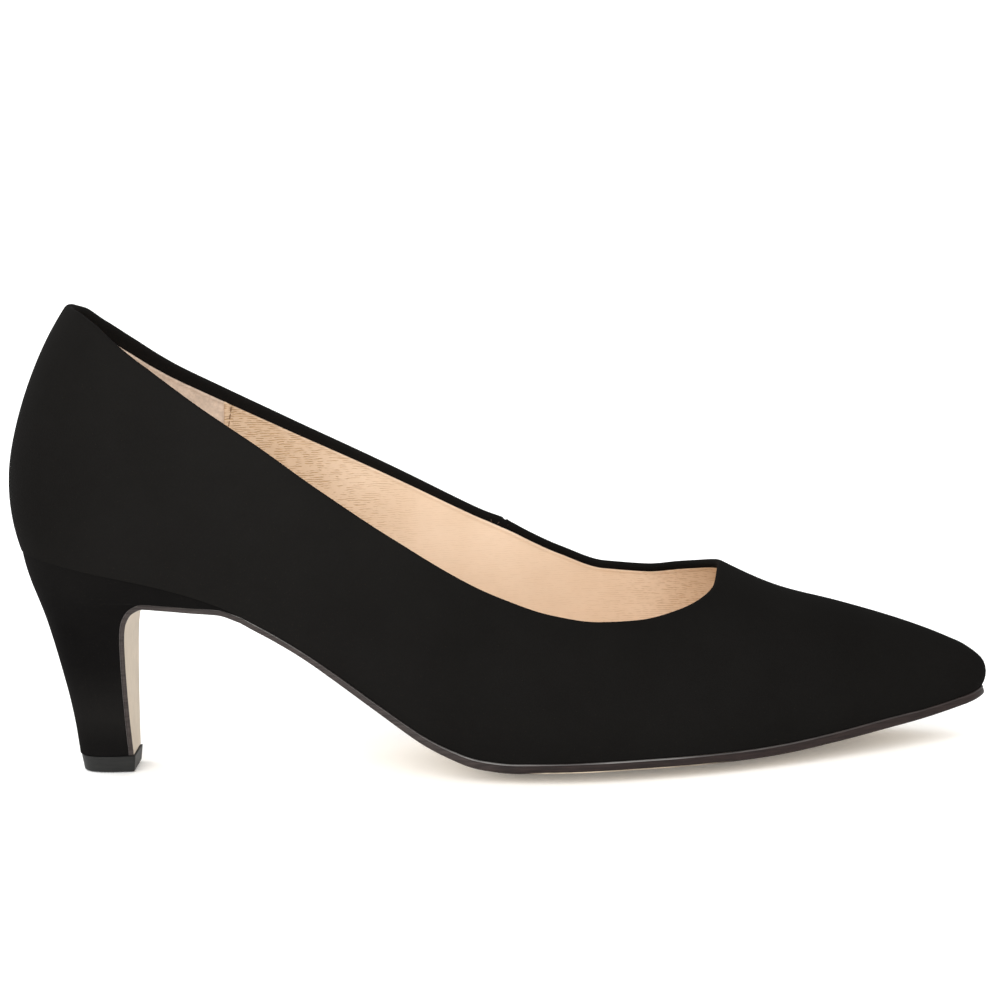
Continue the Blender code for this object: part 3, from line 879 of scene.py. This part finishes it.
def kid_leather(name, colours, stretch, across):
    """Glazed kid: smooth and warm, with a low satin gloss, finely rippled where it is slack at the ends."""
    made, node, place = new_material(name)
    drawn = node("Mapping", {"Vector": place, "Scale": stretch})
    waves = {"Scale": WAVE * per_mm(0.62), "Distortion": 5.0, "Detail": 2.0, "Detail Scale": 1.2}
    ripple = node("TexWave", {"Vector": drawn, **waves}, output="Fac", bands_direction=across)
    breaks = node("TexNoise", {"Vector": drawn, "Scale": per_mm(0.9), "Detail": 1.0})
    cloud = node("TexNoise", {"Vector": place, "Scale": per_mm(14), "Detail": 3.0})
    slack = summed(node, stretches(node, place, KID_SLACK), first=KID_TAUT)
    broken = node("MapRange", {"Value": breaks, "From Min": 0.4, "From Max": 0.58})
    hollow = node("MapRange", {"Value": ripple, "From Min": 0.5, "From Max": 0.05})
    depth = node("Math", {0: broken, 1: slack}, operation="MULTIPLY")
    crease = node("Math", {0: hollow, 1: depth}, operation="MULTIPLY")
    # Painted shade: the ripples' creases, the heel end and the throat are mixed towards the lining's darker
    # colour; the cloud is the leather's own uneven tone
    darker = [(cloud, 0.35, 0.65, 0.16), *stretches(node, place, KID_PAINTED_SHADE)]
    tone_and_painted_shade = summed(node, darker, first=crease)
    shades = {COLOUR_A: colours.lining[:], COLOUR_B: colours.lining_painted_shade[:]}
    shade = node("Mix", {FACTOR: tone_and_painted_shade, **shades}, **MIX)
    looks = {"Base Color": shade, "Roughness": 0.5, "Specular IOR Level": 0.35}
    return finished(made, node, looks, relief=(crease, 0.8, 0.12), invert=True)


def grip_leather(colours):
    """Pigskin, rough side out so that the heel doesn't slip: dull, greyer, with pores and smudges."""
    made, node, place = new_material("grip_pigskin_roughed")
    smudge = node("TexNoise", {"Vector": place, "Scale": per_mm(2.2), "Detail": 3.0, "Roughness": 0.7})
    pores = node("TexVoronoi", {"Vector": place, "Scale": per_mm(0.9)})
    shade = toned(node, colours.grip[:], smudge, 0.33, 0.7, 0.82, 1.12)
    looks = {"Base Color": shade, "Roughness": 0.9, "Specular IOR Level": 0.15}
    return finished(made, node, looks, relief=(pores, 0.4, 0.12))


def sole_leather(colours):
    """Sole bend, vegetable tanned and buffed: pale tan with short fibres and a waxed half gloss."""
    made, node, place = new_material("sole_leather_buffed")
    drawn = node("Mapping", {"Vector": place, "Scale": (0.35, 1.0, 0.35)})
    fibres = node("TexNoise", {"Vector": drawn, "Scale": per_mm(0.8), "Detail": 3.0, "Roughness": 0.6})
    cloud = node("TexNoise", {"Vector": place, "Scale": per_mm(18), "Detail": 3.0})
    flecked = toned(node, colours.sole[:], fibres, 0.3, 0.7, 0.9, 1.05)
    shade = toned(node, flecked, cloud, 0.35, 0.65, 0.92, 1.04)
    looks = {"Base Color": shade, "Roughness": 0.48, "Specular IOR Level": 0.4}
    return finished(made, node, looks, relief=(fibres, 0.25, 0.06))


def waxed_edge(name, colours, roughness, shine, marks=None, tint=None):
    """Edge of the sole, inked and rubbed with hot wax: streaked along the layers, half glossy.

    The ink is worn greyer in the waist. marks says how far a tint shows through it along the shoe; on the
    corner the tint is bare leather, on the bead it is a painted highlight.
    """
    made, node, place = new_material(name)
    worn = summed(node, stretches(node, place, INK_WORN))
    base = node("Mix", {FACTOR: worn, COLOUR_A: colours.ink[:], COLOUR_B: colours.worn_ink[:]}, **MIX)
    if marks:
        along = summed(node, stretches(node, place, WHOLE))
        shown = node("ValToRGB", {"Fac": along})
        stops = shown.node.color_ramp.elements
        for x, share in zip(marks["x"], marks["share"]):
            stops.new(x / SHOE_LENGTH).color = (share, share, share, 1.0)
        for end in (stops[0], stops[-1]):
            end.color = (0.0, 0.0, 0.0, 1.0)
        base = node("Mix", {FACTOR: shown, COLOUR_A: base, COLOUR_B: tint[:]}, **MIX)
    layered = node("Mapping", {"Vector": place, "Scale": (0.12, 0.12, 1.6)})
    streaks = node("TexNoise", {"Vector": layered, "Scale": per_mm(0.7), "Detail": 3.0, "Roughness": 0.6})
    shade = toned(node, base, streaks, 0.3, 0.75, 0.6, 1.7)
    looks = {"Base Color": shade, "Roughness": roughness, "Specular IOR Level": shine}
    return finished(made, node, looks, relief=(streaks, 0.3, 0.06))


def moulded_rubber(colours):
    """Hard rubber, moulded and trimmed: charcoal, with a fine matt grain and faint cut marks."""
    made, node, place = new_material("top_piece_rubber")
    grain = node("TexNoise", {"Vector": place, "Scale": per_mm(0.35), "Detail": 2.0})
    cut = node("Mapping", {"Vector": place, "Scale": (0.2, 0.2, 1.5)})
    marks = node("TexNoise", {"Vector": cut, "Scale": per_mm(0.9), "Detail": 2.0})
    shade = toned(node, colours.rubber[:], marks, 0.3, 0.7, 0.8, 1.2)
    looks = {"Base Color": shade, "Roughness": 0.55, "Specular IOR Level": 0.18}
    return finished(made, node, looks, relief=(grain, 0.3, 0.05))


def waxed_thread(name, dye):
    """Waxed polyester thread: brown, with a twist that shows as fine slanting bands."""
    made, node, place = new_material(name)
    waves = {"Vector": place, "Scale": WAVE * per_mm(0.5), "Distortion": 1.0}
    twist = node("TexWave", waves, output="Fac", bands_direction="DIAGONAL")
    shade = toned(node, dye[:], twist, 0.0, 1.0, 0.75, 1.1)
    return finished(made, node, {"Base Color": shade, "Roughness": 0.6, "Specular IOR Level": 0.4})


def floor_painted_glow(colours):
    """Matt white studio floor with a faint painted glow of its own, which keeps the shadows pale."""
    made, node, _ = new_material("floor_painted_glow")
    looks = {
        "Base Color": colours.floor[:],
        "Roughness": 0.9,
        "Specular IOR Level": 0.0,
        # Painted glow: the floor gives off light although it is no lamp
        "Emission Color": colours.floor[:],
        "Emission Strength": 0.1,
    }
    return finished(made, node, looks)


# Pieces


class PUMP_OT_upper(bpy.types.Operator):
    """Adds the suede upper, one skin that folds over the topline and ends in a band inside it"""

    bl_idname = "pump.upper"
    bl_label = "Suede Upper"

    # Painted light and shade along the shoe: the quarter painted lighter, the back of the heel and the toe
    # painted darker
    PAINTED_LIGHT_STRETCHES = (("X", 16.0, -50.0, 0.33), ("X", -95.0, -124.0, -0.5), ("X", 60.0, 110.0, -0.12))
    TACKS = (-0.3, -1.9, -3.5)
    TACK_SLANT = 0.6

    def execute(self, context):
        sizes = in_mm(context.scene.pump_sizes)
        colours = context.scene.pump_colours
        face = outer_face(sizes)
        band = face.points[:BAND_ROWS] - face.out[:BAND_ROWS] * face.rim[:, None]
        hidden = face.points[BAND_ROWS:] - face.out[BAND_ROWS:] * sizes.suede
        skin = np.concatenate([face.points[::-1], rim_rows(face), band, hidden])
        bm = sheet_mesh(skin, ring=True, closed=True)
        bmesh.ops.recalc_face_normals(bm, faces=bm.faces)
        shades = colours.suede_dark, colours.suede_light
        finish = black_suede("black_suede_brushed", *shades, self.PAINTED_LIGHT_STRETCHES)
        add_piece("suede_upper", bm, [finish], replaces=["upper"])
        self.add_tacks(face, band - face.out[:BAND_ROWS] * sizes.thread / 4, sizes, colours)
        return {"FINISHED"}

    def add_tacks(self, face, band, sizes, colours):
        """Short stitches over the band's lower edge, which hold the side seam's end."""
        bm = bmesh.new()
        for place in self.TACKS:
            low = np.argmin(np.abs(face.from_seam - place))
            high = np.argmin(np.abs(face.from_seam - place - self.TACK_SLANT))
            add_stitch(bm, band[-1, low], band[1, high], sizes.thread)
        finish = waxed_thread("seam_thread_waxed", colours.tack)
        add_piece("seam_tacks", bm, [finish])


def lining_rows(face, sizes, edge_x, lean, heel):
    """Rows of the lining's face between its rear edges: the part round the heel, or the part ahead.

    The edges lean back by lean millimetres over the first LEAN_DEPTH millimetres.
    """
    top = BAND_ROWS - 1
    below = face.depth[top:] - face.depth[top]
    roll = sizes.edge_roll * ridge(below - ROLL_PLACE, ROLL_WIDTH)
    behind = face.rim - sizes.band_step + roll
    inner = face.points[top:] - face.out[top:] * behind[..., None]
    throat = int(np.argmax(face.columns_t))
    count = inner.shape[1]
    rows = []
    for ring, down in zip(inner, below.mean(axis=1)):
        ring_x = edge_x - lean * min(down / LEAN_DEPTH, 1.0)
        lateral = np.interp(ring_x, ring[:throat, 0], np.arange(throat))
        medial_x = ring[throat + 1 :, 0][::-1]
        medial = count - 1 - np.interp(ring_x, medial_x, np.arange(len(medial_x)))
        if heel:
            places = np.linspace(medial, count + lateral, GRIP_COLUMNS)
        else:
            middle = np.linspace(lateral + EDGE_CLEAR, medial - EDGE_CLEAR, LINING_COLUMNS)
            places = np.concatenate([lateral + BESIDE_EDGE, middle, medial - BESIDE_EDGE[::-1]])
        low = np.floor(places).astype(int)
        part = (places - low)[:, None]
        rows.append(ring[low % count] * (1 - part) + ring[(low + 1) % count] * part)
    return np.array(rows)


def sheet_out(rows):
    """Normals of an open sheet's rows that point away from the foot."""
    return unit(np.cross(np.gradient(rows, axis=0), np.gradient(rows, axis=1)))


class PUMP_OT_lining(bpy.types.Operator):
    """Adds the lining, the roughed leather inside the heel and the stitches that join them"""

    bl_idname = "pump.lining"
    bl_label = "Lining"

    LIP_RUN = (0.2, 1.4)
    DENT_WIDTH = 0.4
    GRIP_UNDER = 1.0
    STITCH_PITCH = 1.2
    FIRST_STITCH = 0.5
    UNSTITCHED = 6.0

    def execute(self, context):
        sizes = in_mm(context.scene.pump_sizes)
        colours = context.scene.pump_colours
        face = outer_face(sizes, seam=False)
        front = lining_rows(face, sizes, sizes.grip_edge, EDGE_LEAN, heel=False)
        ends = front[:, [0, -1], 0].mean(axis=1)[:, None]
        from_edge = np.abs(front[..., 0] - ends)
        lip = sizes.lining_lip * (1 - ease(from_edge, *self.LIP_RUN))
        lip = lip - sizes.stitch_dent * ridge(from_edge - sizes.seam_inset, self.DENT_WIDTH)
        front = front - sheet_out(front) * lip[..., None]
        kid = kid_leather("lining_kid_glazed", colours, stretch=(0.5, 0.5, 1.0), across="Z")
        thicken(add_piece("lining", sheet_mesh(front), [kid]), sizes.lining)
        grip_end = sizes.grip_edge + self.GRIP_UNDER
        grip = sheet_mesh(lining_rows(face, sizes, grip_end, EDGE_LEAN, heel=True))
        thicken(add_piece("heel_grip", grip, [grip_leather(colours)]), sizes.lining)
        self.add_stitches(face, sizes, colours)
        return {"FINISHED"}

    def add_stitches(self, face, sizes, colours):
        """Two rows of stitches down the lining, one on each side."""
        rows = lining_rows(face, sizes, sizes.grip_edge + sizes.seam_inset, STITCH_LEAN, heel=False)
        out = sheet_out(rows)
        bm = bmesh.new()
        for column in (0, -1):
            line = rows[:, column] - out[:, column] * sizes.thread / 8
            run = run_along(line)
            stop = run[-1] - self.UNSTITCHED
            for begin in np.arange(self.FIRST_STITCH, stop, sizes.stitch * self.STITCH_PITCH):
                ends = at_lengths(line, run, [begin, begin + sizes.stitch])
                add_stitch(bm, *ends, sizes.thread)
        finish = waxed_thread("lining_thread_waxed", colours.thread)
        add_piece("lining_stitches", bm, [finish])


class PUMP_OT_sock(bpy.types.Operator):
    """Adds the sock that covers the insole, up to the lining all round"""

    bl_idname = "pump.sock"
    bl_label = "Sock"

    EDGE_GAP = 0.12
    EDGE_ROLL = 0.7
    ROLL_SHARPNESS = 18

    def execute(self, context):
        sizes = in_mm(context.scene.pump_sizes)
        at_heel, between, at_toe = SOCK_ALONG
        heel = np.linspace(-HEEL_ARC, 0, at_heel)[:-1]
        toe = np.linspace(FORE, FORE + TOE_ARC, at_toe)[1:]
        station = np.concatenate([heel, np.linspace(0, FORE, between), toe])
        edges = []
        for side in (-1, 1):
            level = LOW_SHARE * INSOLE_THICK / section(station, side).low
            edge = last_point(station, level, side)[:, :2]
            run = np.gradient(edge, axis=0)
            inward = unit(np.stack([-run[:, 1], run[:, 0]], axis=1) * -side)
            edges.append(edge + inward * (sizes.rim - sizes.band_step + self.EDGE_GAP))
        ends = [0, -1]
        edges[0][ends] = edges[1][ends] = (edges[0][ends] + edges[1][ends]) / 2
        share = np.sin(np.linspace(-QUARTER_TURN, QUARTER_TURN, SOCK_ACROSS))
        plan = edges[0][:, None] + (edges[1] - edges[0])[:, None] * ((share + 1) / 2)[None, :, None]
        rolled = self.EDGE_ROLL * np.abs(share) ** self.ROLL_SHARPNESS
        height = bottom(plan[..., 0], share[None]) + GAP / 2 + INSOLE_THICK - rolled[None]
        bm = sheet_mesh(np.concatenate([plan, height[..., None]], axis=-1))
        bmesh.ops.reverse_faces(bm, faces=bm.faces)
        colours = context.scene.pump_colours
        kid = kid_leather("sock_kid_glazed", colours, stretch=(0.5, 1.0, 1.0), across="Y")
        thicken(add_piece("sock", bm, [kid], replaces=["insole"]), INSOLE_THICK - GAP)
        return {"FINISHED"}


def sole_path(grow):
    """The sole's top face from the toe tip to the heel tip, with its edge moved out by grow."""
    turn = np.linspace(QUARTER_TURN, 0, SOLE_TIP)[:-1]
    end = TOE_FEATHER - TOE_AXIS + SOLE_PROUD + grow
    tip = TOE_AXIS + end * np.sin(turn) ** (2 / TOE_POINT)
    x = np.concatenate([tip, np.linspace(TOE_AXIS, SHANK_START, SOLE_ALONG)])
    level = np.linspace(1, 0, HEEL_LEVELS)
    flap_half = along_rows(level, HEEL["half"])
    halves = []
    for side in (-1, 1):
        shank = foot_half(SHANK["x"], side, grow)
        tongue = flap_half + grow + (shank[-1] - HEEL_INSET - flap_half - grow) * level**TONGUE_TAPER
        halves.append(np.concatenate([foot_half(x, side, SOLE_PROUD + grow), shank, tongue]))
    thick = smooth(x, BOTTOM["x"], BOTTOM["sole"])
    flat = np.zeros(len(SHANK["x"]) + HEEL_LEVELS)
    return SimpleNamespace(
        x=np.concatenate([x, SHANK["x"], along_rows(level, HEEL["front_x"])]),
        z=np.concatenate([bottom(x, 0.0) + SOLE_TOP, SHANK["z"], along_rows(level, HEEL["front_z"])]),
        thick=np.concatenate([thick, SHANK["thick"], along_rows(level, HEEL["flap"])]),
        rises=np.concatenate([np.ones(len(x)), flat]),
        halves=halves,
    )


def sole_points(path, share, down):
    """Points across the sole at shares of its half widths, at a share of its thickness below its top."""
    line = np.stack([path.x, path.z], axis=1)
    heading = unit(np.gradient(line, axis=0))
    normal = np.stack([heading[:, 1], -heading[:, 0]], axis=1)
    middle = line - normal * (path.thick * down)[:, None]
    y = np.where(share < 0, path.halves[0][:, None], path.halves[1][:, None]) * share
    rise = (bottom(path.x[:, None], share) - bottom(path.x[:, None], 0.0)) * path.rises[:, None]
    x = np.broadcast_to(middle[:, :1], y.shape)
    return np.stack([x, y, middle[:, 1:] + rise], axis=-1)


class PUMP_OT_sole(bpy.types.Operator):
    """Adds the leather sole, with an inked edge, that runs on down the front of the heel"""

    bl_idname = "pump.sole"
    bl_label = "Leather Sole"

    LEATHER, INK, POLISH, CORNER = range(4)
    INKED = {"roughness": 0.5, "shine": 0.18}
    RUBBED = {"roughness": 0.28, "shine": 0.4}

    def execute(self, context):
        colours = context.scene.pump_colours
        inner = np.linspace(-1, 1, SOLE_ACROSS)[None, 1:-1]
        paths = [sole_path(grow) for grow in SOLE_EDGE["grow"]]
        levels = list(zip(paths, SOLE_EDGE["down"]))
        lateral, medial = (
            np.concatenate([sole_points(path, np.array([[side]]), down) for path, down in levels], axis=1)
            for side in (-1.0, 1.0)
        )
        top = sole_points(paths[0], inner, 0.0)
        tread = sole_points(paths[-1], inner, 1.0)
        rings = np.concatenate([top, medial, tread[:, ::-1], lateral[:, ::-1]], axis=1)
        bm = sheet_mesh(rings, ring=True, paint=lambda row, column: self.finish_at(column))
        finishes = [
            sole_leather(colours),
            waxed_edge("sole_edge_inked", colours, **self.INKED),
            # The bead's finish is glossy, with a painted highlight along the shoe
            waxed_edge("sole_edge_glossy_painted_highlight", colours, **self.RUBBED, marks=BEAD_PAINTED_GLINT, tint=colours.bead_painted_glint),
            waxed_edge("sole_corner_worn", colours, **self.INKED, marks=BARE, tint=colours.sole),
        ]
        add_piece("leather_sole", close_ends(bm), finishes, replaces=["outsole"], sharp=38.0)
        return {"FINISHED"}

    def finish_at(self, column):
        """Finish of a face, by its column round the sole."""
        across = SOLE_ACROSS - 2
        edge = len(SOLE_EDGE["grow"])
        from_medial_rim = column - across
        from_lateral_rim = 2 * across + 2 * edge - 2 - column
        place = min(from_medial_rim, from_lateral_rim, key=abs)
        if place < -1 or place >= edge - 1:
            return self.LEATHER
        if place < BEAD_FACES:
            return self.POLISH
        return self.CORNER if place >= INKED_FACES else self.INK


def back_shares():
    """Places round a level of the heel, from its front edge to the middle of its round back."""
    turn = np.linspace(0, QUARTER_TURN, HEEL_BACK)
    sides = np.linspace(0, HEEL_STRAIGHT, HEEL_SIDE)
    return np.unique(np.concatenate([sides, np.sin(turn) ** (2 / HEEL_ROUND)]))


def round_back(share):
    """Share of the half width that is left at a place round the heel."""
    return np.sqrt(np.clip(1 - share**HEEL_ROUND, 0, 1))


def heel_block(x, halves, z):
    """A closed block of levels, each from its front edge round its back, with a half width for each side."""
    sides = [
        np.stack(np.broadcast_arrays(x, side * half, z), axis=-1) for side, half in zip((-1, 1), halves)
    ]
    return close_ends(sheet_mesh(np.concatenate([sides[0], sides[1][:, -2::-1]], axis=1), ring=True))


class PUMP_OT_heel(bpy.types.Operator):
    """Adds the heel, covered in the upper's suede"""

    bl_idname = "pump.heel"
    bl_label = "Covered Heel"

    FRONT_GAP = 0.03
    SEAT_INSET = 0.3
    SEAT_RISE = 0.13
    TONGUE_REACH = (0.0, 0.25)
    # Painted light and shade by height: lighter from 30 mm down to 16 mm, darker again below 15 mm, a little
    # lighter above 40 mm
    PAINTED_LIGHT_STRETCHES = (("Z", 30.0, 16.0, 0.55), ("Z", 15.0, 8.0, -0.4), ("Z", 40.0, 52.0, 0.1))

    def execute(self, context):
        colours = context.scene.pump_colours
        level = np.linspace(0, 1, HEEL_LEVELS)[:, None]
        size = {column: along_rows(level, values) for column, values in HEEL.items()}
        dx = np.gradient(size["front_x"], axis=0)
        dz = np.gradient(size["front_z"], axis=0)
        front_x = size["front_x"] - self.FRONT_GAP * dz / np.hypot(dx, dz)
        front_z = size["front_z"] + self.FRONT_GAP * dx / np.hypot(dx, dz)
        share = back_shares()[None]
        x = front_x + (size["back_x"] - front_x) * share
        z = front_z + (size["back_z"] - front_z) * share
        power = TONGUE_EASE + (SEAT_EASE - TONGUE_EASE) * ease(share, *self.TONGUE_REACH)
        z = z + (bottom(x, 0.0) + self.SEAT_RISE - z) * size["seat"] ** power
        half = size["half"] * round_back(share)
        seats = [foot_half(x, side, -self.SEAT_INSET) for side in (-1, 1)]
        bm = heel_block(x, [half + (seat - half) * size["seat"] for seat in seats], z)
        shades = colours.heel_dark, colours.heel_light
        finish = black_suede("black_suede_heel_cover", *shades, self.PAINTED_LIGHT_STRETCHES)
        add_piece("suede_heel", bm, [finish], replaces=["heel"], sharp=42.0)
        return {"FINISHED"}


class PUMP_OT_top_piece(bpy.types.Operator):
    """Adds the rubber top piece under the heel"""

    bl_idname = "pump.top_piece"
    bl_label = "Top Piece"

    UPPER_EDGE = 0.12
    FRONT_PROUD = 0.45

    def execute(self, context):
        turn = np.linspace(0, QUARTER_TURN, LIFT_CORNER)
        upper = [LIFT_HEIGHT, LIFT_HEIGHT - self.UPPER_EDGE]
        heights = np.concatenate([upper, LIFT_EDGE * (1 - np.sin(turn))])[:, None]
        lower_insets = LIFT_TAPER + LIFT_EDGE * (1 - np.cos(turn))
        insets = np.concatenate([[self.UPPER_EDGE, 0.0], lower_insets])[:, None]
        share = back_shares()[None]
        front = HEEL["front_x"][0] + HEEL["flap"][0] + self.FRONT_PROUD - insets
        x = front + (HEEL["back_x"][0] + LIFT_INSET + insets - front) * share
        half = (HEEL["half"][0] - insets) * round_back(share)
        bm = heel_block(x, [half, half], heights)
        finish = moulded_rubber(context.scene.pump_colours)
        add_piece("rubber_top_piece", bm, [finish], replaces=["top_lift"], sharp=35.0)
        return {"FINISHED"}


class PUMP_OT_stage(bpy.types.Operator):
    """Adds the floor, the soft light and the camera"""

    bl_idname = "pump.stage"
    bl_label = "Studio"

    FLOOR_HALF = 12.0
    FLOOR_DROP = 0.0002
    WORLD_STRENGTH = 1.05
    SOFT_BOXES = {
        "key_in_front": ((-0.35, -1.8, 1.05), 2.2, 35.0),
        "overhead": ((0.0, 0.2, 1.9), 2.0, 2.0),
        "side_behind": ((-1.3, 0.9, 0.9), 1.4, 12.0),
    }
    AIM = Vector((0.0, 0.0, 0.05))
    LENS = 144.81
    SHIFT = (0.00525, 0.04709)
    CLIP = (0.05, 60.0)

    def execute(self, context):
        self.add_floor(context)
        self.add_light(context)
        self.add_camera(context)
        return {"FINISHED"}

    def add_floor(self, context):
        bm = bmesh.new()
        bmesh.ops.create_grid(bm, x_segments=1, y_segments=1, size=self.FLOOR_HALF)
        bmesh.ops.translate(bm, verts=bm.verts, vec=(0.0, 0.0, -self.FLOOR_DROP))
        floor = new_object("studio_floor", bm, [floor_painted_glow(context.scene.pump_colours)])

    def add_light(self, context):
        world = bpy.data.worlds.new("studio")
        world.use_nodes = True
        sky = world.node_tree.nodes["Background"]
        sky.inputs["Color"].default_value = (1.0, 1.0, 1.0, 1.0)
        sky.inputs["Strength"].default_value = self.WORLD_STRENGTH
        context.scene.world = world
        for name, (place, size, power) in self.SOFT_BOXES.items():
            light = bpy.data.lights.new(name, "AREA")
            light.shape = "DISK"
            light.size = size
            light.energy = power
            lamp = bpy.data.objects.new(name, light)
            lamp.location = place
            lamp.rotation_mode = "QUATERNION"
            lamp.rotation_quaternion = (self.AIM - Vector(place)).to_track_quat("-Z", "Y")
            context.scene.collection.objects.link(lamp)
        context.scene.view_settings.view_transform = "Standard"

    def add_camera(self, context):
        view = context.scene.pump_view
        target = Vector((0.0, -BOX_MIDDLE_Y * MM, view.target_height))
        turn, tip = view.azimuth, view.elevation
        back = Vector((math.sin(turn) * math.cos(tip), -math.cos(turn) * math.cos(tip), math.sin(tip)))
        right = (-back).cross(Vector((0, 0, 1))).normalized()
        up = right.cross(-back)
        rolled_right = right * math.cos(view.roll) - up * math.sin(view.roll)
        rolled_up = right * math.sin(view.roll) + up * math.cos(view.roll)
        lens = bpy.data.cameras.new("camera")
        lens.lens = self.LENS
        lens.shift_x, lens.shift_y = self.SHIFT
        lens.clip_start, lens.clip_end = self.CLIP
        camera = bpy.data.objects.new("camera", lens)
        turned = Matrix((rolled_right, rolled_up, back)).transposed().to_4x4()
        camera.matrix_world = Matrix.Translation(target + back * view.distance) @ turned
        context.scene.collection.objects.link(camera)
        context.scene.camera = camera


STEPS = (
    PUMP_OT_upper,
    PUMP_OT_lining,
    PUMP_OT_sock,
    PUMP_OT_sole,
    PUMP_OT_heel,
    PUMP_OT_top_piece,
    PUMP_OT_stage,
)
GROUPS = {"pump_sizes": PumpSizes, "pump_colours": PumpColours, "pump_view": PumpView}


class PUMP_PT_pieces(bpy.types.Panel):
    """Lists the pump's pieces, sizes and colours"""

    bl_idname = "PUMP_PT_pieces"
    bl_label = "Kitten Heel Pump"
    bl_space_type = "VIEW_3D"
    bl_region_type = "UI"
    bl_category = "Pump"

    def draw(self, context):
        for step in STEPS:
            self.layout.operator(step.bl_idname)
        for name in GROUPS:
            group = getattr(context.scene, name)
            box = self.layout.box()
            for value in group.__annotations__:
                box.prop(group, value)


def register():
    for made in (*GROUPS.values(), *STEPS, PUMP_PT_pieces):
        bpy.utils.register_class(made)
    for name, group in GROUPS.items():
        setattr(bpy.types.Scene, name, PointerProperty(type=group))


def unregister():
    for name in GROUPS:
        delattr(bpy.types.Scene, name)
    for made in reversed((*GROUPS.values(), *STEPS, PUMP_PT_pieces)):
        bpy.utils.unregister_class(made)


def main():
    register()
    bpy.ops.pump.upper()
    bpy.ops.pump.lining()
    bpy.ops.pump.sock()
    bpy.ops.pump.sole()
    bpy.ops.pump.heel()
    bpy.ops.pump.top_piece()
    bpy.ops.pump.stage()


if __name__ == "__main__":
    main()
